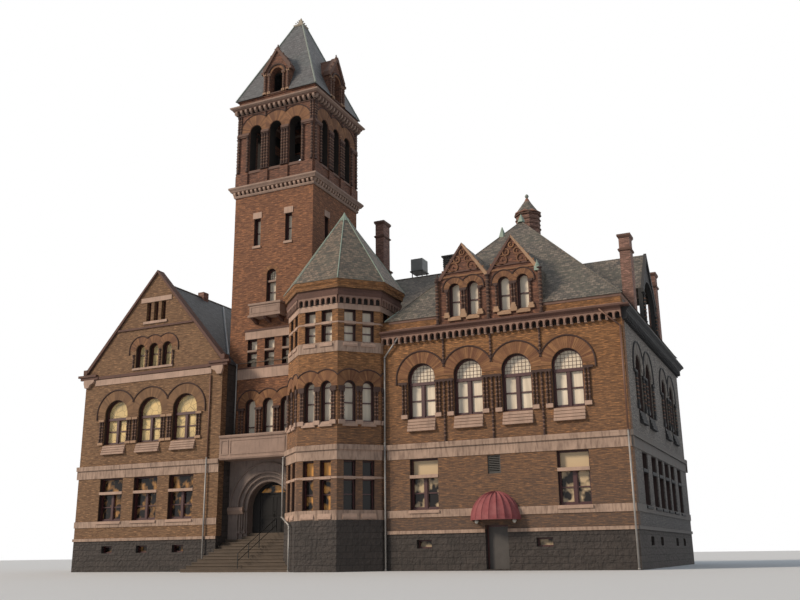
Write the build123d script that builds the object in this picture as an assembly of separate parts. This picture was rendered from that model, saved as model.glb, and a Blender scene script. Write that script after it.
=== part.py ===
from build123d import *
import os
from math import cos, pi, sin, tan

# A brick and stone town hall: right wing under a hipped roof, gabled left wing,
# square belfry tower over an arched porch, and an eight-sided corner turret.
# Millimetres. +X is to the right of the front, +Y runs to the back, +Z is up.
# The origin lies on the ground under the middle of the plan.

# Overall plan
right_width = 12350
right_depth = 16830
left_width = 10430
left_setback = 740
wing_gap = 298

# Levels shared by all the wings
slab_bottom = 0
ground_slab = 250
water_table_top = 1910
first_floor = 2050
floor_thick = 250
belt_top = 6190
wall_top = 11430
parapet_bottom = 12120
eave_level = 12700

# Walls, glass and trim
wall_thick = 500
trim_gap = 2
sill_band_bottom = 2540
sill_band_top = 2900
band_proud = 40
belt_mould_high = 260
belt_pale_high = 500
belt_proud = 120
table_high = 160
table_proud = 60
frame_wide = 75
frame_depth = 120
frame_setback = 230
glass_thick = 20

# Windows of the main storeys
rect_width = 1540
rect_bottom = 2900
rect_top = 5410
rect_transom = 4550
arch_width = 1520
arch_bottom = 7450
arch_centre = 9550
arch_transom_drop = 230
arch_pitch = 2553
small_width = 800
small_bottom = 1060
small_top = 1470
cellar_window_right = 8000

# Right wing front
first_arch = 1900
right_rect_left = 1950
right_rect_right = 9560
cellar_door_centre = 5665
cellar_door_width = 1150
cellar_door_top = 2090
vent_width = 660
vent_bottom = 4510
vent_top = 5390
vent_border = 60
vent_blades = 9
vent_blade_thick = 50
side_pair_near = 2465
side_pair_far = 5165
side_rect_pitch = 1980
side_rect_width = 1400
side_rect_outer = 5450

# Left wing front
left_arch_pitch = 2600
left_window_width = 1750
left_arch_centre = 9300
left_gable_bottom = 11780
left_gable_apex = 18100
left_ridge = 17550
attic_width = 700
attic_bottom = 12050
attic_centre = 13180
attic_pitch = 1020
slit_width = 340
slit_bottom = 14940
slit_top = 16170
slit_pitch = 570

# Cornice of the wings
corbel_high = 420
corbel_proud = 260
gutter_proud = 430

# Right wing roof
roof_overhang = 120
roof_thick = 300
right_ridge = 19100
right_hip_run = 5100

# Middle roof
middle_ridge = 17500
middle_eave = 11900
middle_front = 2070

# Tower
tower_side = 5680
tower_setback = 2110
tower_overlap = 535
tower_wall = 700
tower_top = 22740
tower_cornice_top = 23400
tower_cornice_proud = 360
belfry_floor = 23650
belfry_sill = 24200
belfry_arch_centre = 27100
belfry_arch_width = 880
belfry_pitch = 1480
belfry_top = 28350
belfry_cornice_top = 28950
belfry_cornice_proud = 450
tower_eave = 29450
tower_roof_overhang = 160
tower_roof_top = 35900
tower_roof_top_half = 300
crest_high = 100
crest_tip_half = 230
finial_top = 36670
tower_dormer_width = 1980
tower_dormer_eave = 31300
tower_dormer_apex = 32750
tower_dormer_arch = 30900
tower_dormer_opening = 860
tower_dormer_sill = 150
tower_dormer_wall = 400
tower_dormer_reach = 1600
tower_dormer_cheek = 250

# Tower windows
porch_window_width = 720
porch_window_pitch = 1220
porch_window_bottom = 6900
porch_window_centre = 9350
third_width = 680
third_bottom = 11550
third_top = 13330
third_transom = 12600
tall_width = 680
tall_bottom = 15550
tall_centre = 17280
tall_transom_drop = 400
tower_slit_width = 480
tower_slit_offset = 1130
tower_slit_bottom = 19250
tower_slit_top = 21050
tower_third_floor_drop = 500

# Turret
turret_seat = 3
turret_inset = 900
turret_radius = 3060
turret_wall = 450
turret_base_proud = 60
turret_base_top = 2470
turret_top = 13590
turret_cornice_top = 14850
turret_cornice_proud = 330
turret_apex = 19750
turret_window_width = 640
turret_window_pitch = 1000
turret_arch_centre = 9180
turret_arch_bottom = 7380
turret_back_bottom = 11300
turret_roof_overhang = 60
turret_sill_rise = 50
third_band_high = 550

# Porch
porch_front = 1850
balcony_front = 740
porch_pier = 644
porch_arch_spring = 3430
porch_order_step = 240
porch_orders = 2
balcony_bottom = 6090
balcony_floor = 6350
balcony_top = 7430
balcony_wall = 200
entrance_door_top = 4200
entrance_door_width = 1900
passage_width = 2000
passage_top = 4600
entrance_frame = 90
leaf_thick = 60
leaf_gap = 6
meeting_gap = 12
pivot_radius = 25
pivot_seat = 0.3
door_setback = 550
entrance_frame_deep = 100
cellar_frame = 80
cellar_frame_deep = 120
cellar_setback = 300
threshold_high = 60

# Steps
riser_count = 12
tread = 328
landing_setback = 200
step_left_grow = 120
step_clearance = 3
rail_radius = 22
rail_bar_radius = 18
rail_high = 800
rail_drop = 380
rail_offset = 250

# Twin dormers of the right wing
dormer_width = 2690
dormer_first = 4370
dormer_wall = 350
dormer_bottom = 12120
dormer_eave = 14650
dormer_apex = 16480
dormer_window_width = 600
dormer_window_bottom = 12580
dormer_window_centre = 14120
dormer_window_pitch = 1000
dormer_reach = 4500

# Side cross gable of the right wing
side_gable_half = 1900
side_gable_eave = 14700
side_gable_ridge = 17150
side_gable_arch_half = 1620
side_gable_arch_centre = 13850
side_gable_thick = 220
side_gable_reach = 5200

# Chimneys and roof pieces
stack_offset = 3900
stack_wide = 680
stack_deep = 800
stack_top = 17100
tall_stack_x = 570
tall_stack_wide = 1300
tall_stack_deep = 850
tall_stack_top = 21900
lantern_y = 6400
lantern_radius = 700
lantern_eave = 19950
lantern_tip = 21050
lantern_overhang = 90
stub_wide = 700
stub_front = 4615
stub_deep = 1500
stub_top = 17950
unit_y = 1585
unit_deep = 900
unit_x0 = 1540
unit_wide = 1500
unit_top = 19500
vent_box_x0 = 3840
vent_box_wide = 900
vent_box_top = 19600
unit_bottom = 15500

# Awning over the cellar door
awning_half = 1230
awning_deep = 1100
awning_bottom = 2330
awning_high = 1330
awning_thick = 40

turret_apothem = turret_radius * cos(pi / 8)
porch_width = tower_side - tower_overlap + turret_seat
porch_arch_width = porch_width - 2 * porch_orders * porch_order_step - 2 * porch_pier
middle_width = porch_width + 2 * turret_apothem + wing_gap
total_width = left_width + middle_width + right_width
half_width = total_width / 2
right_x0 = half_width - right_width
right_x1 = half_width
right_y0 = -right_depth / 2
right_y1 = right_depth / 2
left_x0 = -half_width
left_x1 = -half_width + left_width
left_y0 = right_y0 + left_setback
left_y1 = right_y1 - left_setback
tower_x0 = left_x1 - tower_overlap
tower_x1 = tower_x0 + tower_side
tower_y0 = right_y0 + tower_setback
tower_y1 = tower_y0 + tower_side
tower_x = (tower_x0 + tower_x1) / 2
tower_y = (tower_y0 + tower_y1) / 2
turret_x = tower_x1 + turret_seat + turret_apothem
turret_y = right_y0 + turret_inset

parts = {}


def box(x0, x1, y0, y1, z0, z1):
    """Box between two corners."""
    middle = Pos((x0 + x1) / 2, (y0 + y1) / 2, (z0 + z1) / 2)
    return middle * Box(x1 - x0, y1 - y0, z1 - z0)


def rect_shape(s, width, z0, z1):
    """Upright rectangle of a facade, centred at s."""
    return Pos(s, (z0 + z1) / 2) * Rectangle(width, z1 - z0)


def arch_shape(s, width, z0, centre):
    """Round-headed outline of a facade, centred at s."""
    radius = width / 2
    head = Circle(radius) & (Pos(0, radius / 2) * Rectangle(width, radius))
    return rect_shape(s, width, z0, centre) + Pos(s, centre) * head


def slab(shape, depth, thick):
    """Facade outline made solid, from a depth behind the face inwards."""
    face = Plane((0, depth, 0), x_dir=(1, 0, 0), z_dir=(0, -1, 0))
    return extrude(face * shape, amount=-thick)


def place(shape, x, y, turn):
    """Puts what was drawn on a front facade at its own wall."""
    return Pos(x, y, 0) * Rot(0, 0, turn) * shape


def joined(shapes):
    """All shapes as one."""
    whole = shapes[0]
    for shape in shapes[1:]:
        whole = whole + shape
    return whole


def group(shapes):
    """Solids that lie apart, kept in one node."""
    solids = []
    for shape in shapes:
        solids.extend(shape.solids())
    return Compound(children=solids)


class Window:
    """One window of a facade: its outline, its frame and its glass."""

    def __init__(self, s, width, z0, z1, arched=False, bar=0, mullion=True):
        self.s = s
        self.width = width
        self.z0 = z0
        self.z1 = z1
        self.arched = arched
        self.bar = bar
        self.mullion = mullion

    def outline(self, inset=0):
        width = self.width - 2 * inset
        if self.arched:
            return arch_shape(self.s, width, self.z0 + inset, self.z1)
        return rect_shape(self.s, width, self.z0 + inset, self.z1 - inset)

    def frame(self):
        shape = self.outline() - self.outline(frame_wide)
        top = self.bar if self.bar else self.z1
        inner = self.width - frame_wide
        if self.bar:
            shape = shape + rect_shape(self.s, inner, self.bar - frame_wide, self.bar)
        if self.mullion:
            shape = shape + rect_shape(self.s, 2 * frame_wide, self.z0 + frame_wide / 2, top)
        return slab(shape, frame_setback, frame_depth)

    def glass(self):
        return slab(self.outline(), frame_setback + frame_depth, glass_thick)


def storey_windows(arch_places, rect_places, arch_wide=arch_width, rect_wide=rect_width,
                   centre=arch_centre):
    """Arched windows above, tall rectangular ones with a transom below."""
    windows = []
    for s in arch_places:
        transom = centre - arch_transom_drop
        windows.append(Window(s, arch_wide, arch_bottom, centre, True, transom))
    for s in rect_places:
        windows.append(Window(s, rect_wide, rect_bottom, rect_top, False, rect_transom))
    return windows


def small_windows(places):
    """Low windows of the stone basement."""
    return [Window(s, small_width, small_bottom, small_top, mullion=False) for s in places]


def wall(width, z0, z1, windows, start=0, thick=wall_thick):
    """Wall slab with its windows cut through."""
    shape = rect_shape(start + width / 2, width, z0, z1)
    for window in windows:
        shape = shape - window.outline()
    return slab(shape, 0, thick)


def band(start, end, z0, z1, proud):
    """Flat stone band lying on the face of a wall."""
    return box(start, end, -proud, 0, z0, z1)


def belt(start, end):
    """Belt course: a moulding over a pale band."""
    pale_top = belt_top - belt_mould_high
    pale = band(start, end, pale_top - belt_pale_high, pale_top, band_proud)
    return band(start, end, pale_top, belt_top, belt_proud) + pale


def cornice(start, end):
    """Corbel table under a gutter moulding."""
    corbels = band(start, end, wall_top, wall_top + corbel_high, corbel_proud)
    return corbels + band(start, end, wall_top + corbel_high, parapet_bottom, gutter_proud)


def gable_prism(x0, x1, y0, y1, z0, ridge):
    """Solid gable roof with its ridge along Y."""
    middle = (x0 + x1) / 2
    outline = Polygon((x0, z0), (x1, z0), (middle, ridge), align=None)
    return Pos(0, y0, 0) * slab(outline, 0, y1 - y0)


def cross_prism(x0, x1, y0, y1, z0, ridge):
    """Solid gable roof with its ridge along X."""
    width = y1 - y0
    turned = gable_prism(-width / 2, width / 2, 0, x1 - x0, z0, ridge)
    return Pos(x0, (y0 + y1) / 2, 0) * Rot(0, 0, -90) * turned


def hip_solid(x0, x1, y0, y1, z0, ridge, run):
    """Solid hipped roof with a short ridge along Y."""
    outline = Polygon((y0, z0), (y1, z0), (y1 - run, ridge), (y0 + run, ridge), align=None)
    ends = Plane((x0, 0, 0), x_dir=(0, 1, 0), z_dir=(1, 0, 0))
    hipped = extrude(ends * outline, amount=x1 - x0)
    return hipped & gable_prism(x0, x1, y0, y1, z0, ridge)


def octagon(radius):
    """Octagon with flat sides to the front, right, back and left."""
    return RegularPolygon(radius, 8, rotation=22.5)


def column(sketch, z0, z1):
    """Plan outline raised from z0 to z1."""
    return Pos(0, 0, z0) * extrude(sketch, amount=z1 - z0)


turret_at = Pos(turret_x, turret_y, 0)
tower_at = Pos(tower_x, tower_y, 0)
turret_left = turret_x - turret_apothem
turret_right = turret_x + turret_apothem
porch_x = (left_x1 + turret_left) / 2
balcony_y = right_y0 + balcony_front
tower_frames = []
tower_panes = []
right_frames = []
right_panes = []
stone_bands = []
cornices = []
basement_walls = []
floors = []
dormer_roofs = []


def tower_mass(grow=0, top=finial_top):
    half = tower_side / 2 + grow
    return tower_at * box(-half, half, -half, half, slab_bottom, top)


def turret_mass(radius=turret_radius, z0=slab_bottom, z1=turret_apex):
    return turret_at * column(octagon(radius), z0, z1)


right_roof_x0 = right_x0 - roof_overhang
right_roof_x1 = right_x1 + roof_overhang
right_roof_y0 = right_y0 - roof_overhang
right_roof_y1 = right_y1 + roof_overhang
right_roof_solid = hip_solid(right_roof_x0, right_roof_x1, right_roof_y0, right_roof_y1,
                             eave_level, right_ridge, right_hip_run)


def turret_faces(radius, thick, z0, z1, faces, gap=trim_gap / 2):
    """Wall segments of the turret, one for each face, parted by narrow joints."""
    ring = octagon(radius) - octagon(radius - thick / cos(pi / 8))
    segments = []
    for number in faces:
        angle = -90 + 45 * number
        reach = 2 * radius
        half = reach * tan(pi / 8)
        wedge = Polygon((0, 0), (reach, -half), (reach, half), align=None)
        wedge = Pos(gap / sin(pi / 8), 0) * wedge
        segments.append(turret_at * column(ring & (Rot(0, 0, angle) * wedge), z0, z1))
    return segments


def turret_place(shape, number):
    """Puts a facade shape centred at s = 0 on one face of the turret."""
    angle = 45 * number
    return turret_at * Rot(0, 0, angle) * Pos(0, -turret_apothem, 0) * shape


front_faces = (-2, -1, 0, 1, 2)
back_faces = (3, 4, 5)


def turret_windows():
    windows = []
    for s in (-turret_window_pitch / 2, turret_window_pitch / 2):
        windows.append(Window(s, turret_window_width, rect_bottom, rect_top, False, rect_transom, False))
        windows.append(Window(s, turret_window_width, turret_arch_bottom, turret_arch_centre, True,
                              0, False))
        windows.append(Window(s, turret_window_width, third_bottom, third_top, False,
                              third_transom, False))
    return windows


def make_turret():
    windows = turret_windows()
    segments = []
    for number, segment in zip(front_faces, turret_faces(turret_radius, turret_wall, turret_base_top,
                                                         turret_top, front_faces)):
        for window in windows:
            cutter = slab(window.outline(), -trim_gap, turret_wall + 2 * trim_gap)
            segment = segment - turret_place(cutter, number)
            tower_frames.append(turret_place(window.frame(), number))
            tower_panes.append(turret_place(window.glass(), number))
        segments.append(segment)
    segments.extend(turret_faces(turret_radius, turret_wall, turret_back_bottom, turret_top, back_faces))
    parts["turret_walls"] = group(segments)

    base = turret_faces(turret_radius + turret_base_proud, turret_wall + turret_base_proud,
                        slab_bottom, turret_base_top, front_faces)
    parts["turret_base_walls"] = group([clear_of_neighbours(piece) for piece in base])

    bands = []
    belt_bottom = belt_top - belt_mould_high - belt_pale_high
    for z0, z1, proud in ((turret_base_top, sill_band_top + turret_sill_rise, band_proud),
                          (belt_bottom, belt_top - belt_mould_high, band_proud),
                          (belt_top - belt_mould_high, belt_top, belt_proud),
                          (third_bottom - third_band_high, third_bottom, band_proud)):
        rings = turret_faces(turret_radius + proud / cos(pi / 8), proud, z0, z1, front_faces)
        bands.extend(rings)
    parts["turret_bands"] = group([clear_of_neighbours(piece) for piece in fused_by_face(bands)])

    steps = []
    corbel_top = turret_top + corbel_high
    for z0, z1, proud in ((turret_top, corbel_top, 0.5 * turret_cornice_proud),
                          (corbel_top, turret_cornice_top, turret_cornice_proud)):
        steps.extend(turret_faces(turret_radius + proud, turret_wall + proud, z0, z1, range(8)))
    parts["turret_cornice"] = group([piece - tower_mass() for piece in fused_by_face(steps)])

    eaves = turret_radius + turret_cornice_proud + turret_roof_overhang
    outer = roof_octagon(eaves, turret_cornice_top, turret_apex)
    inner = roof_octagon(eaves - roof_thick, turret_cornice_top - trim_gap, turret_apex - 1.6 * roof_thick)
    parts["turret_roof"] = turret_at * (outer - inner) - tower_mass()


def clear_of_neighbours(piece):
    """Cuts a turret piece back from the porch, the tower and the right wing."""
    porch = box(left_x1, turret_left, balcony_y, tower_y0, slab_bottom, balcony_top)
    wing = box(turret_right, right_x1, right_y0, right_y1, slab_bottom, eave_level)
    return piece - porch - wing - tower_mass()


def fused_by_face(pieces):
    """Fuses the pieces that touch, so that each face of the turret is one solid."""
    return list(joined(pieces).solids())


def roof_octagon(radius, z0, z1):
    """Eight-sided roof, solid, coming to a point."""
    return loft([Pos(0, 0, z0) * octagon(radius), Pos(0, 0, z1) * octagon(1)])


def floor_plan(z0, z1):
    """Floor between the inner faces of all the outside walls."""
    back = left_y1 - wall_thick
    right = box(right_x0 - 1, right_x1 - wall_thick, right_y0 + wall_thick, right_y1 - wall_thick, z0, z1)
    right = right - box(right_x0 - 1, right_x0 + wall_thick, back, right_y1, z0, z1)
    middle = box(left_x1 - 1, right_x0, tower_y0, back, z0, z1)
    left = box(left_x0 + wall_thick, left_x1, left_y0 + wall_thick, back, z0, z1)
    left = left - box(left_x1 - wall_thick, left_x1, left_y0, tower_y0, z0, z1)
    bay = turret_mass(turret_radius, z0, z1)
    plan = right + middle + left + bay
    for segment in turret_faces(turret_radius + turret_base_proud, turret_wall + turret_base_proud,
                                z0, z1, front_faces, 0):
        plan = plan - segment
    link_x0 = min(turret_right, right_x0) - 1
    link_x1 = max(turret_right, right_x0) + 1
    link = box(link_x0, link_x1, right_y0 + wall_thick, tower_y0 + 1, z0, z1)
    plan = plan + (link - turret_mass(turret_radius + turret_base_proud, z0, z1))
    plan = plan - tower_mass() - tall_stack()
    return max(plan.solids(), key=lambda solid: solid.volume)


def tall_stack():
    return box(tall_stack_x - tall_stack_wide / 2, tall_stack_x + tall_stack_wide / 2,
               -tall_stack_deep / 2, tall_stack_deep / 2, ground_slab, tall_stack_top)


def make_floors():
    floors.append(floor_plan(slab_bottom, ground_slab))
    floors.append(floor_plan(first_floor - floor_thick, first_floor))
    floors.append(floor_plan(belt_top - floor_thick, belt_top))


def right_arches():
    return [first_arch + arch_pitch * number for number in range(4)]


def side_arches():
    middle = right_depth / 2
    return [middle - side_pair_far, middle - side_pair_near, middle + side_pair_near,
            middle + side_pair_far]


def side_rects():
    middle = right_depth / 2
    inner = [middle + side_rect_pitch * step for step in (-1.5, -0.5, 0.5, 1.5)]
    return [middle - side_rect_outer] + inner + [middle + side_rect_outer]


def make_right_wing():
    start = turret_right - right_x0
    door_left = cellar_door_centre - cellar_door_width / 2
    door_right = cellar_door_centre + cellar_door_width / 2
    upper = storey_windows(right_arches(), [])
    lower_left = storey_windows([], [right_rect_left])
    lower_right = storey_windows([], [right_rect_right])

    def front(shape):
        return place(shape, right_x0, right_y0, 0)

    def side(shape):
        return place(shape, right_x1, right_y0, 90)

    def back(shape):
        return place(shape, right_x1, right_y1, 180)

    vent_hole = rect_shape(cellar_door_centre, vent_width, vent_bottom, vent_top)
    over = rect_shape(cellar_door_centre, cellar_door_width, cellar_door_top, belt_top) - vent_hole
    parts["right_front_wall_left"] = front(wall(door_left - start, water_table_top, belt_top,
                                                lower_left, start))
    parts["right_front_wall_right"] = front(wall(right_width - door_right, water_table_top, belt_top,
                                                 lower_right, door_right))
    parts["right_front_wall_over_door"] = front(slab(over, 0, wall_thick))
    upper_wall = wall(right_width - start, belt_top, eave_level, upper, start)
    dormer_left = dormer_first - dormer_width / 2
    dormer_seat = box(dormer_left, dormer_left + 2 * dormer_width, 0, wall_thick, dormer_bottom,
                      eave_level)
    parts["right_front_wall_upper"] = front(upper_wall - dormer_seat)

    inner = right_depth - 2 * wall_thick
    side_windows = storey_windows(side_arches(), side_rects(), rect_wide=side_rect_width)
    parts["right_side_wall"] = side(wall(inner, water_table_top, eave_level, side_windows, wall_thick))
    back_windows = storey_windows(right_arches(), right_arches())
    parts["right_back_wall"] = back(wall(right_width, water_table_top, eave_level, back_windows))
    back_return = box(right_x0, right_x0 + wall_thick, left_y1 - wall_thick,
                      right_y1 - wall_thick, slab_bottom, eave_level)
    front_return = box(left_x1 - wall_thick, left_x1, left_y0 + wall_thick, tower_y0,
                       slab_bottom, left_gable_bottom)
    parts["return_walls"] = group([front_return, back_return])

    cellar_left = small_windows([first_arch])
    cellar_right = small_windows([cellar_window_right])
    cellar_side = small_windows(side_arches())
    threshold = front(box(door_left + trim_gap, door_right - trim_gap, 0, wall_thick - trim_gap,
                          slab_bottom, threshold_high))
    basement_walls.append(threshold)
    base = [front(wall(door_left - start, slab_bottom, water_table_top, cellar_left, start)),
            front(wall(right_width - door_right, slab_bottom, water_table_top, cellar_right, door_right)),
            side(wall(inner - 2 * trim_gap, slab_bottom, water_table_top, cellar_side,
                      wall_thick + trim_gap)),
            back(wall(right_width - wall_thick, slab_bottom, water_table_top,
                      small_windows(right_arches())))]
    base[3] = base[3] - box(right_x0, right_x0 + wall_thick, right_y0, right_y1 - wall_thick,
                            slab_bottom, eave_level)
    basement_walls.extend(base)

    for windows, put in ((upper + lower_left + lower_right + cellar_left + cellar_right, front),
                         (side_windows + cellar_side, side),
                         (back_windows + small_windows(right_arches()), back)):
        for window in windows:
            right_frames.append(put(window.frame()))
            right_panes.append(put(window.glass()))

    parts["cellar_vent_louvre"] = front(louvre())

    band_low = (sill_band_bottom, sill_band_top)
    strips = [front(belt(start, right_width + belt_proud)),
              side(belt(trim_gap, right_depth - trim_gap)),
              back(belt(-belt_proud, right_width))]
    sill = front(band(start, right_width + band_proud, band_low[0], band_low[1], band_proud))
    strips.append(sill - awning_dome(awning_half))
    strips.append(side(band(trim_gap, right_depth - trim_gap, band_low[0], band_low[1], band_proud)))
    strips.append(back(band(-band_proud, right_width, band_low[0], band_low[1], band_proud)))
    table = (water_table_top - table_high, water_table_top)
    strips.append(front(band(start, door_left, table[0], table[1], table_proud)))
    strips.append(front(band(door_right, right_width + table_proud, table[0], table[1], table_proud)))
    strips.append(side(band(trim_gap, right_depth - trim_gap, table[0], table[1], table_proud)))
    strips.append(back(band(-table_proud, right_width, table[0], table[1], table_proud)))
    turret_clear = turret_mass(turret_radius + 2 * belt_proud, slab_bottom, turret_top)
    stone_bands.extend(strip - turret_clear for strip in strips)

    eaves = [front(cornice(start, right_width + gutter_proud)),
             side(cornice(trim_gap, right_depth - trim_gap)),
             back(cornice(-gutter_proud, right_width))]
    cornices.extend(piece - turret_clear for piece in eaves)


def louvre():
    """Slatted vent over the cellar door."""
    hole = rect_shape(cellar_door_centre, vent_width, vent_bottom, vent_top)
    inner = rect_shape(cellar_door_centre, vent_width - 2 * vent_border, vent_bottom + vent_border,
                       vent_top - vent_border)
    vent = slab(hole - inner, vent_border, 2 * vent_blade_thick)
    step = (vent_top - vent_bottom - 2 * vent_border) / vent_blades
    for number in range(vent_blades):
        z = vent_bottom + vent_border + step * number
        blade = rect_shape(cellar_door_centre, vent_width - vent_border, z + 0.1 * step,
                           z + 0.6 * step)
        vent = vent + slab(blade, vent_border, vent_blade_thick)
    return vent


def dormer_outlines(inset, floor):
    """The two gabled outlines of the twin dormers."""
    outlines = []
    for number in range(2):
        s = dormer_first + dormer_width * number
        half = dormer_width / 2 - inset
        outlines.append(Polygon((s - half, floor), (s + half, floor),
                                (s + half, dormer_eave - inset), (s, dormer_apex - 1.6 * inset),
                                (s - half, dormer_eave - inset), align=None))
    return outlines


def make_dormers():
    """Twin gabled dormers over the gutter; gives back the space they take up."""
    pierced = joined(dormer_outlines(0, dormer_bottom))
    for number in range(2):
        for side in (-1, 1):
            s = dormer_first + dormer_width * number + side * dormer_window_pitch / 2
            window = Window(s, dormer_window_width, dormer_window_bottom, dormer_window_centre, True,
                            0, False)
            pierced = pierced - window.outline()
            right_frames.append(place(window.frame(), right_x0, right_y0, 0))
            right_panes.append(place(window.glass(), right_x0, right_y0, 0))
    parts["twin_dormer_front"] = place(slab(pierced, 0, dormer_wall), right_x0, right_y0, 0)
    outline = joined(dormer_outlines(0, eave_level))
    outer = place(slab(outline, dormer_wall, dormer_reach), right_x0, right_y0, 0)
    rooms = [slab(room, dormer_wall, dormer_reach) for room in dormer_outlines(dormer_wall / 2, eave_level)]
    inner = place(joined(rooms), right_x0, right_y0, 0)
    roofs = outer - inner - right_roof_solid
    dormer_roofs.extend(roofs.solids())
    return place(slab(outline, -2 * roof_overhang, dormer_wall + 2 * roof_overhang), right_x0,
                 right_y0, 0) + inner


def make_right_roof(dormer_space):
    lowered = Pos(0, 0, -roof_thick) * right_roof_solid
    shell = right_roof_solid - lowered - dormer_space
    stacks = side_stacks()
    for stack in stacks:
        shell = shell - stack
    main = max(shell.solids(), key=lambda solid: solid.volume)

    middle_x = (right_x0 + right_x1) / 2
    at = Pos(middle_x, right_y0 + lantern_y, 0)
    drum = column(octagon(lantern_radius), right_ridge - 2 * lantern_radius, lantern_eave)
    cap = roof_octagon(lantern_radius + lantern_overhang, lantern_eave, lantern_tip)
    parts["right_roof"] = group([main, at * cap])
    lantern = at * drum - right_roof_solid
    parts["chimneys"] = group(stacks + [tall_stack(), lantern, ridge_stub()])

    prism = side_gable_prism(0)
    hollow = side_gable_prism(roof_thick)
    parts["side_gable_arch"] = place(side_gable_frame(), right_x1, 0, 90) - right_roof_solid
    roof = prism - right_roof_solid - hollow
    dormer_roofs.append(max(roof.solids(), key=lambda solid: solid.volume))
    parts["dormer_roofs"] = group(dormer_roofs)


def side_gable_prism(drop):
    """Gabled roof body over the side loggia."""
    half = side_gable_half - 0.7 * drop
    outline = Polygon((-half, side_gable_eave), (half, side_gable_eave), (0, side_gable_ridge - drop),
                      align=None)
    return place(slab(outline, 0, side_gable_reach), right_x1, 0, 90)


def side_gable_frame():
    """Open arched frame on two slim posts under the side gable."""
    half = side_gable_half
    inner = half - 0.7 * roof_thick
    outline = Polygon((-half, eave_level), (half, eave_level), (half, side_gable_eave),
                      (inner, side_gable_eave), (0, side_gable_ridge - roof_thick),
                      (-inner, side_gable_eave), (-half, side_gable_eave), align=None)
    arch = arch_shape(0, 2 * side_gable_arch_half, eave_level - 1, side_gable_arch_centre)
    return slab(outline - arch, 0, side_gable_thick)


def side_stacks():
    stacks = []
    for side in (-1, 1):
        middle = side * stack_offset
        stacks.append(box(right_x1 - stack_wide, right_x1, middle - stack_deep / 2,
                          middle + stack_deep / 2, eave_level, stack_top))
    return stacks


def ridge_stub():
    """Low chimney astride the left wing's ridge."""
    x = (left_x0 + left_x1) / 2
    y = right_y0 + stub_front
    return box(x - stub_wide / 2, x + stub_wide / 2, y, y + stub_deep, left_gable_bottom,
               stub_top) - left_roof_solid()


def left_roof_solid():
    return gable_prism(left_x0 - roof_overhang, left_x1 + roof_overhang, left_y0 + wall_thick,
                       left_y1 - wall_thick, left_gable_bottom, left_ridge)


def middle_roof_solid():
    start = (left_x0 + left_x1) / 2
    end = (right_x0 + right_x1) / 2
    return cross_prism(start, end, right_y0 + middle_front, left_y1 + roof_overhang, middle_eave,
                       middle_ridge)


def make_roof_units():
    """Two plain metal housings behind the middle ridge."""
    y0 = unit_y - unit_deep / 2
    y1 = unit_y + unit_deep / 2
    units = [box(unit_x0, unit_x0 + unit_wide, y0, y1, unit_bottom, unit_top),
             box(vent_box_x0, vent_box_x0 + vent_box_wide, y0, y1, unit_bottom, vent_box_top)]
    parts["roof_units"] = group([unit - middle_roof_solid() for unit in units])


def gable_wall(width, z0):
    """Gabled wall outline of the left wing."""
    return Polygon((0, z0), (width, z0), (width, left_gable_bottom), (width / 2, left_gable_apex),
                   (0, left_gable_bottom), align=None)


def left_places():
    middle = left_width / 2
    return [middle - left_arch_pitch, middle, middle + left_arch_pitch]


def attic_windows():
    middle = left_width / 2
    windows = []
    for step in (-1, 0, 1):
        windows.append(Window(middle + step * attic_pitch, attic_width, attic_bottom, attic_centre,
                              True, 0, False))
        windows.append(Window(middle + step * slit_pitch, slit_width, slit_bottom, slit_top, False,
                              0, False))
    return windows


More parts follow.
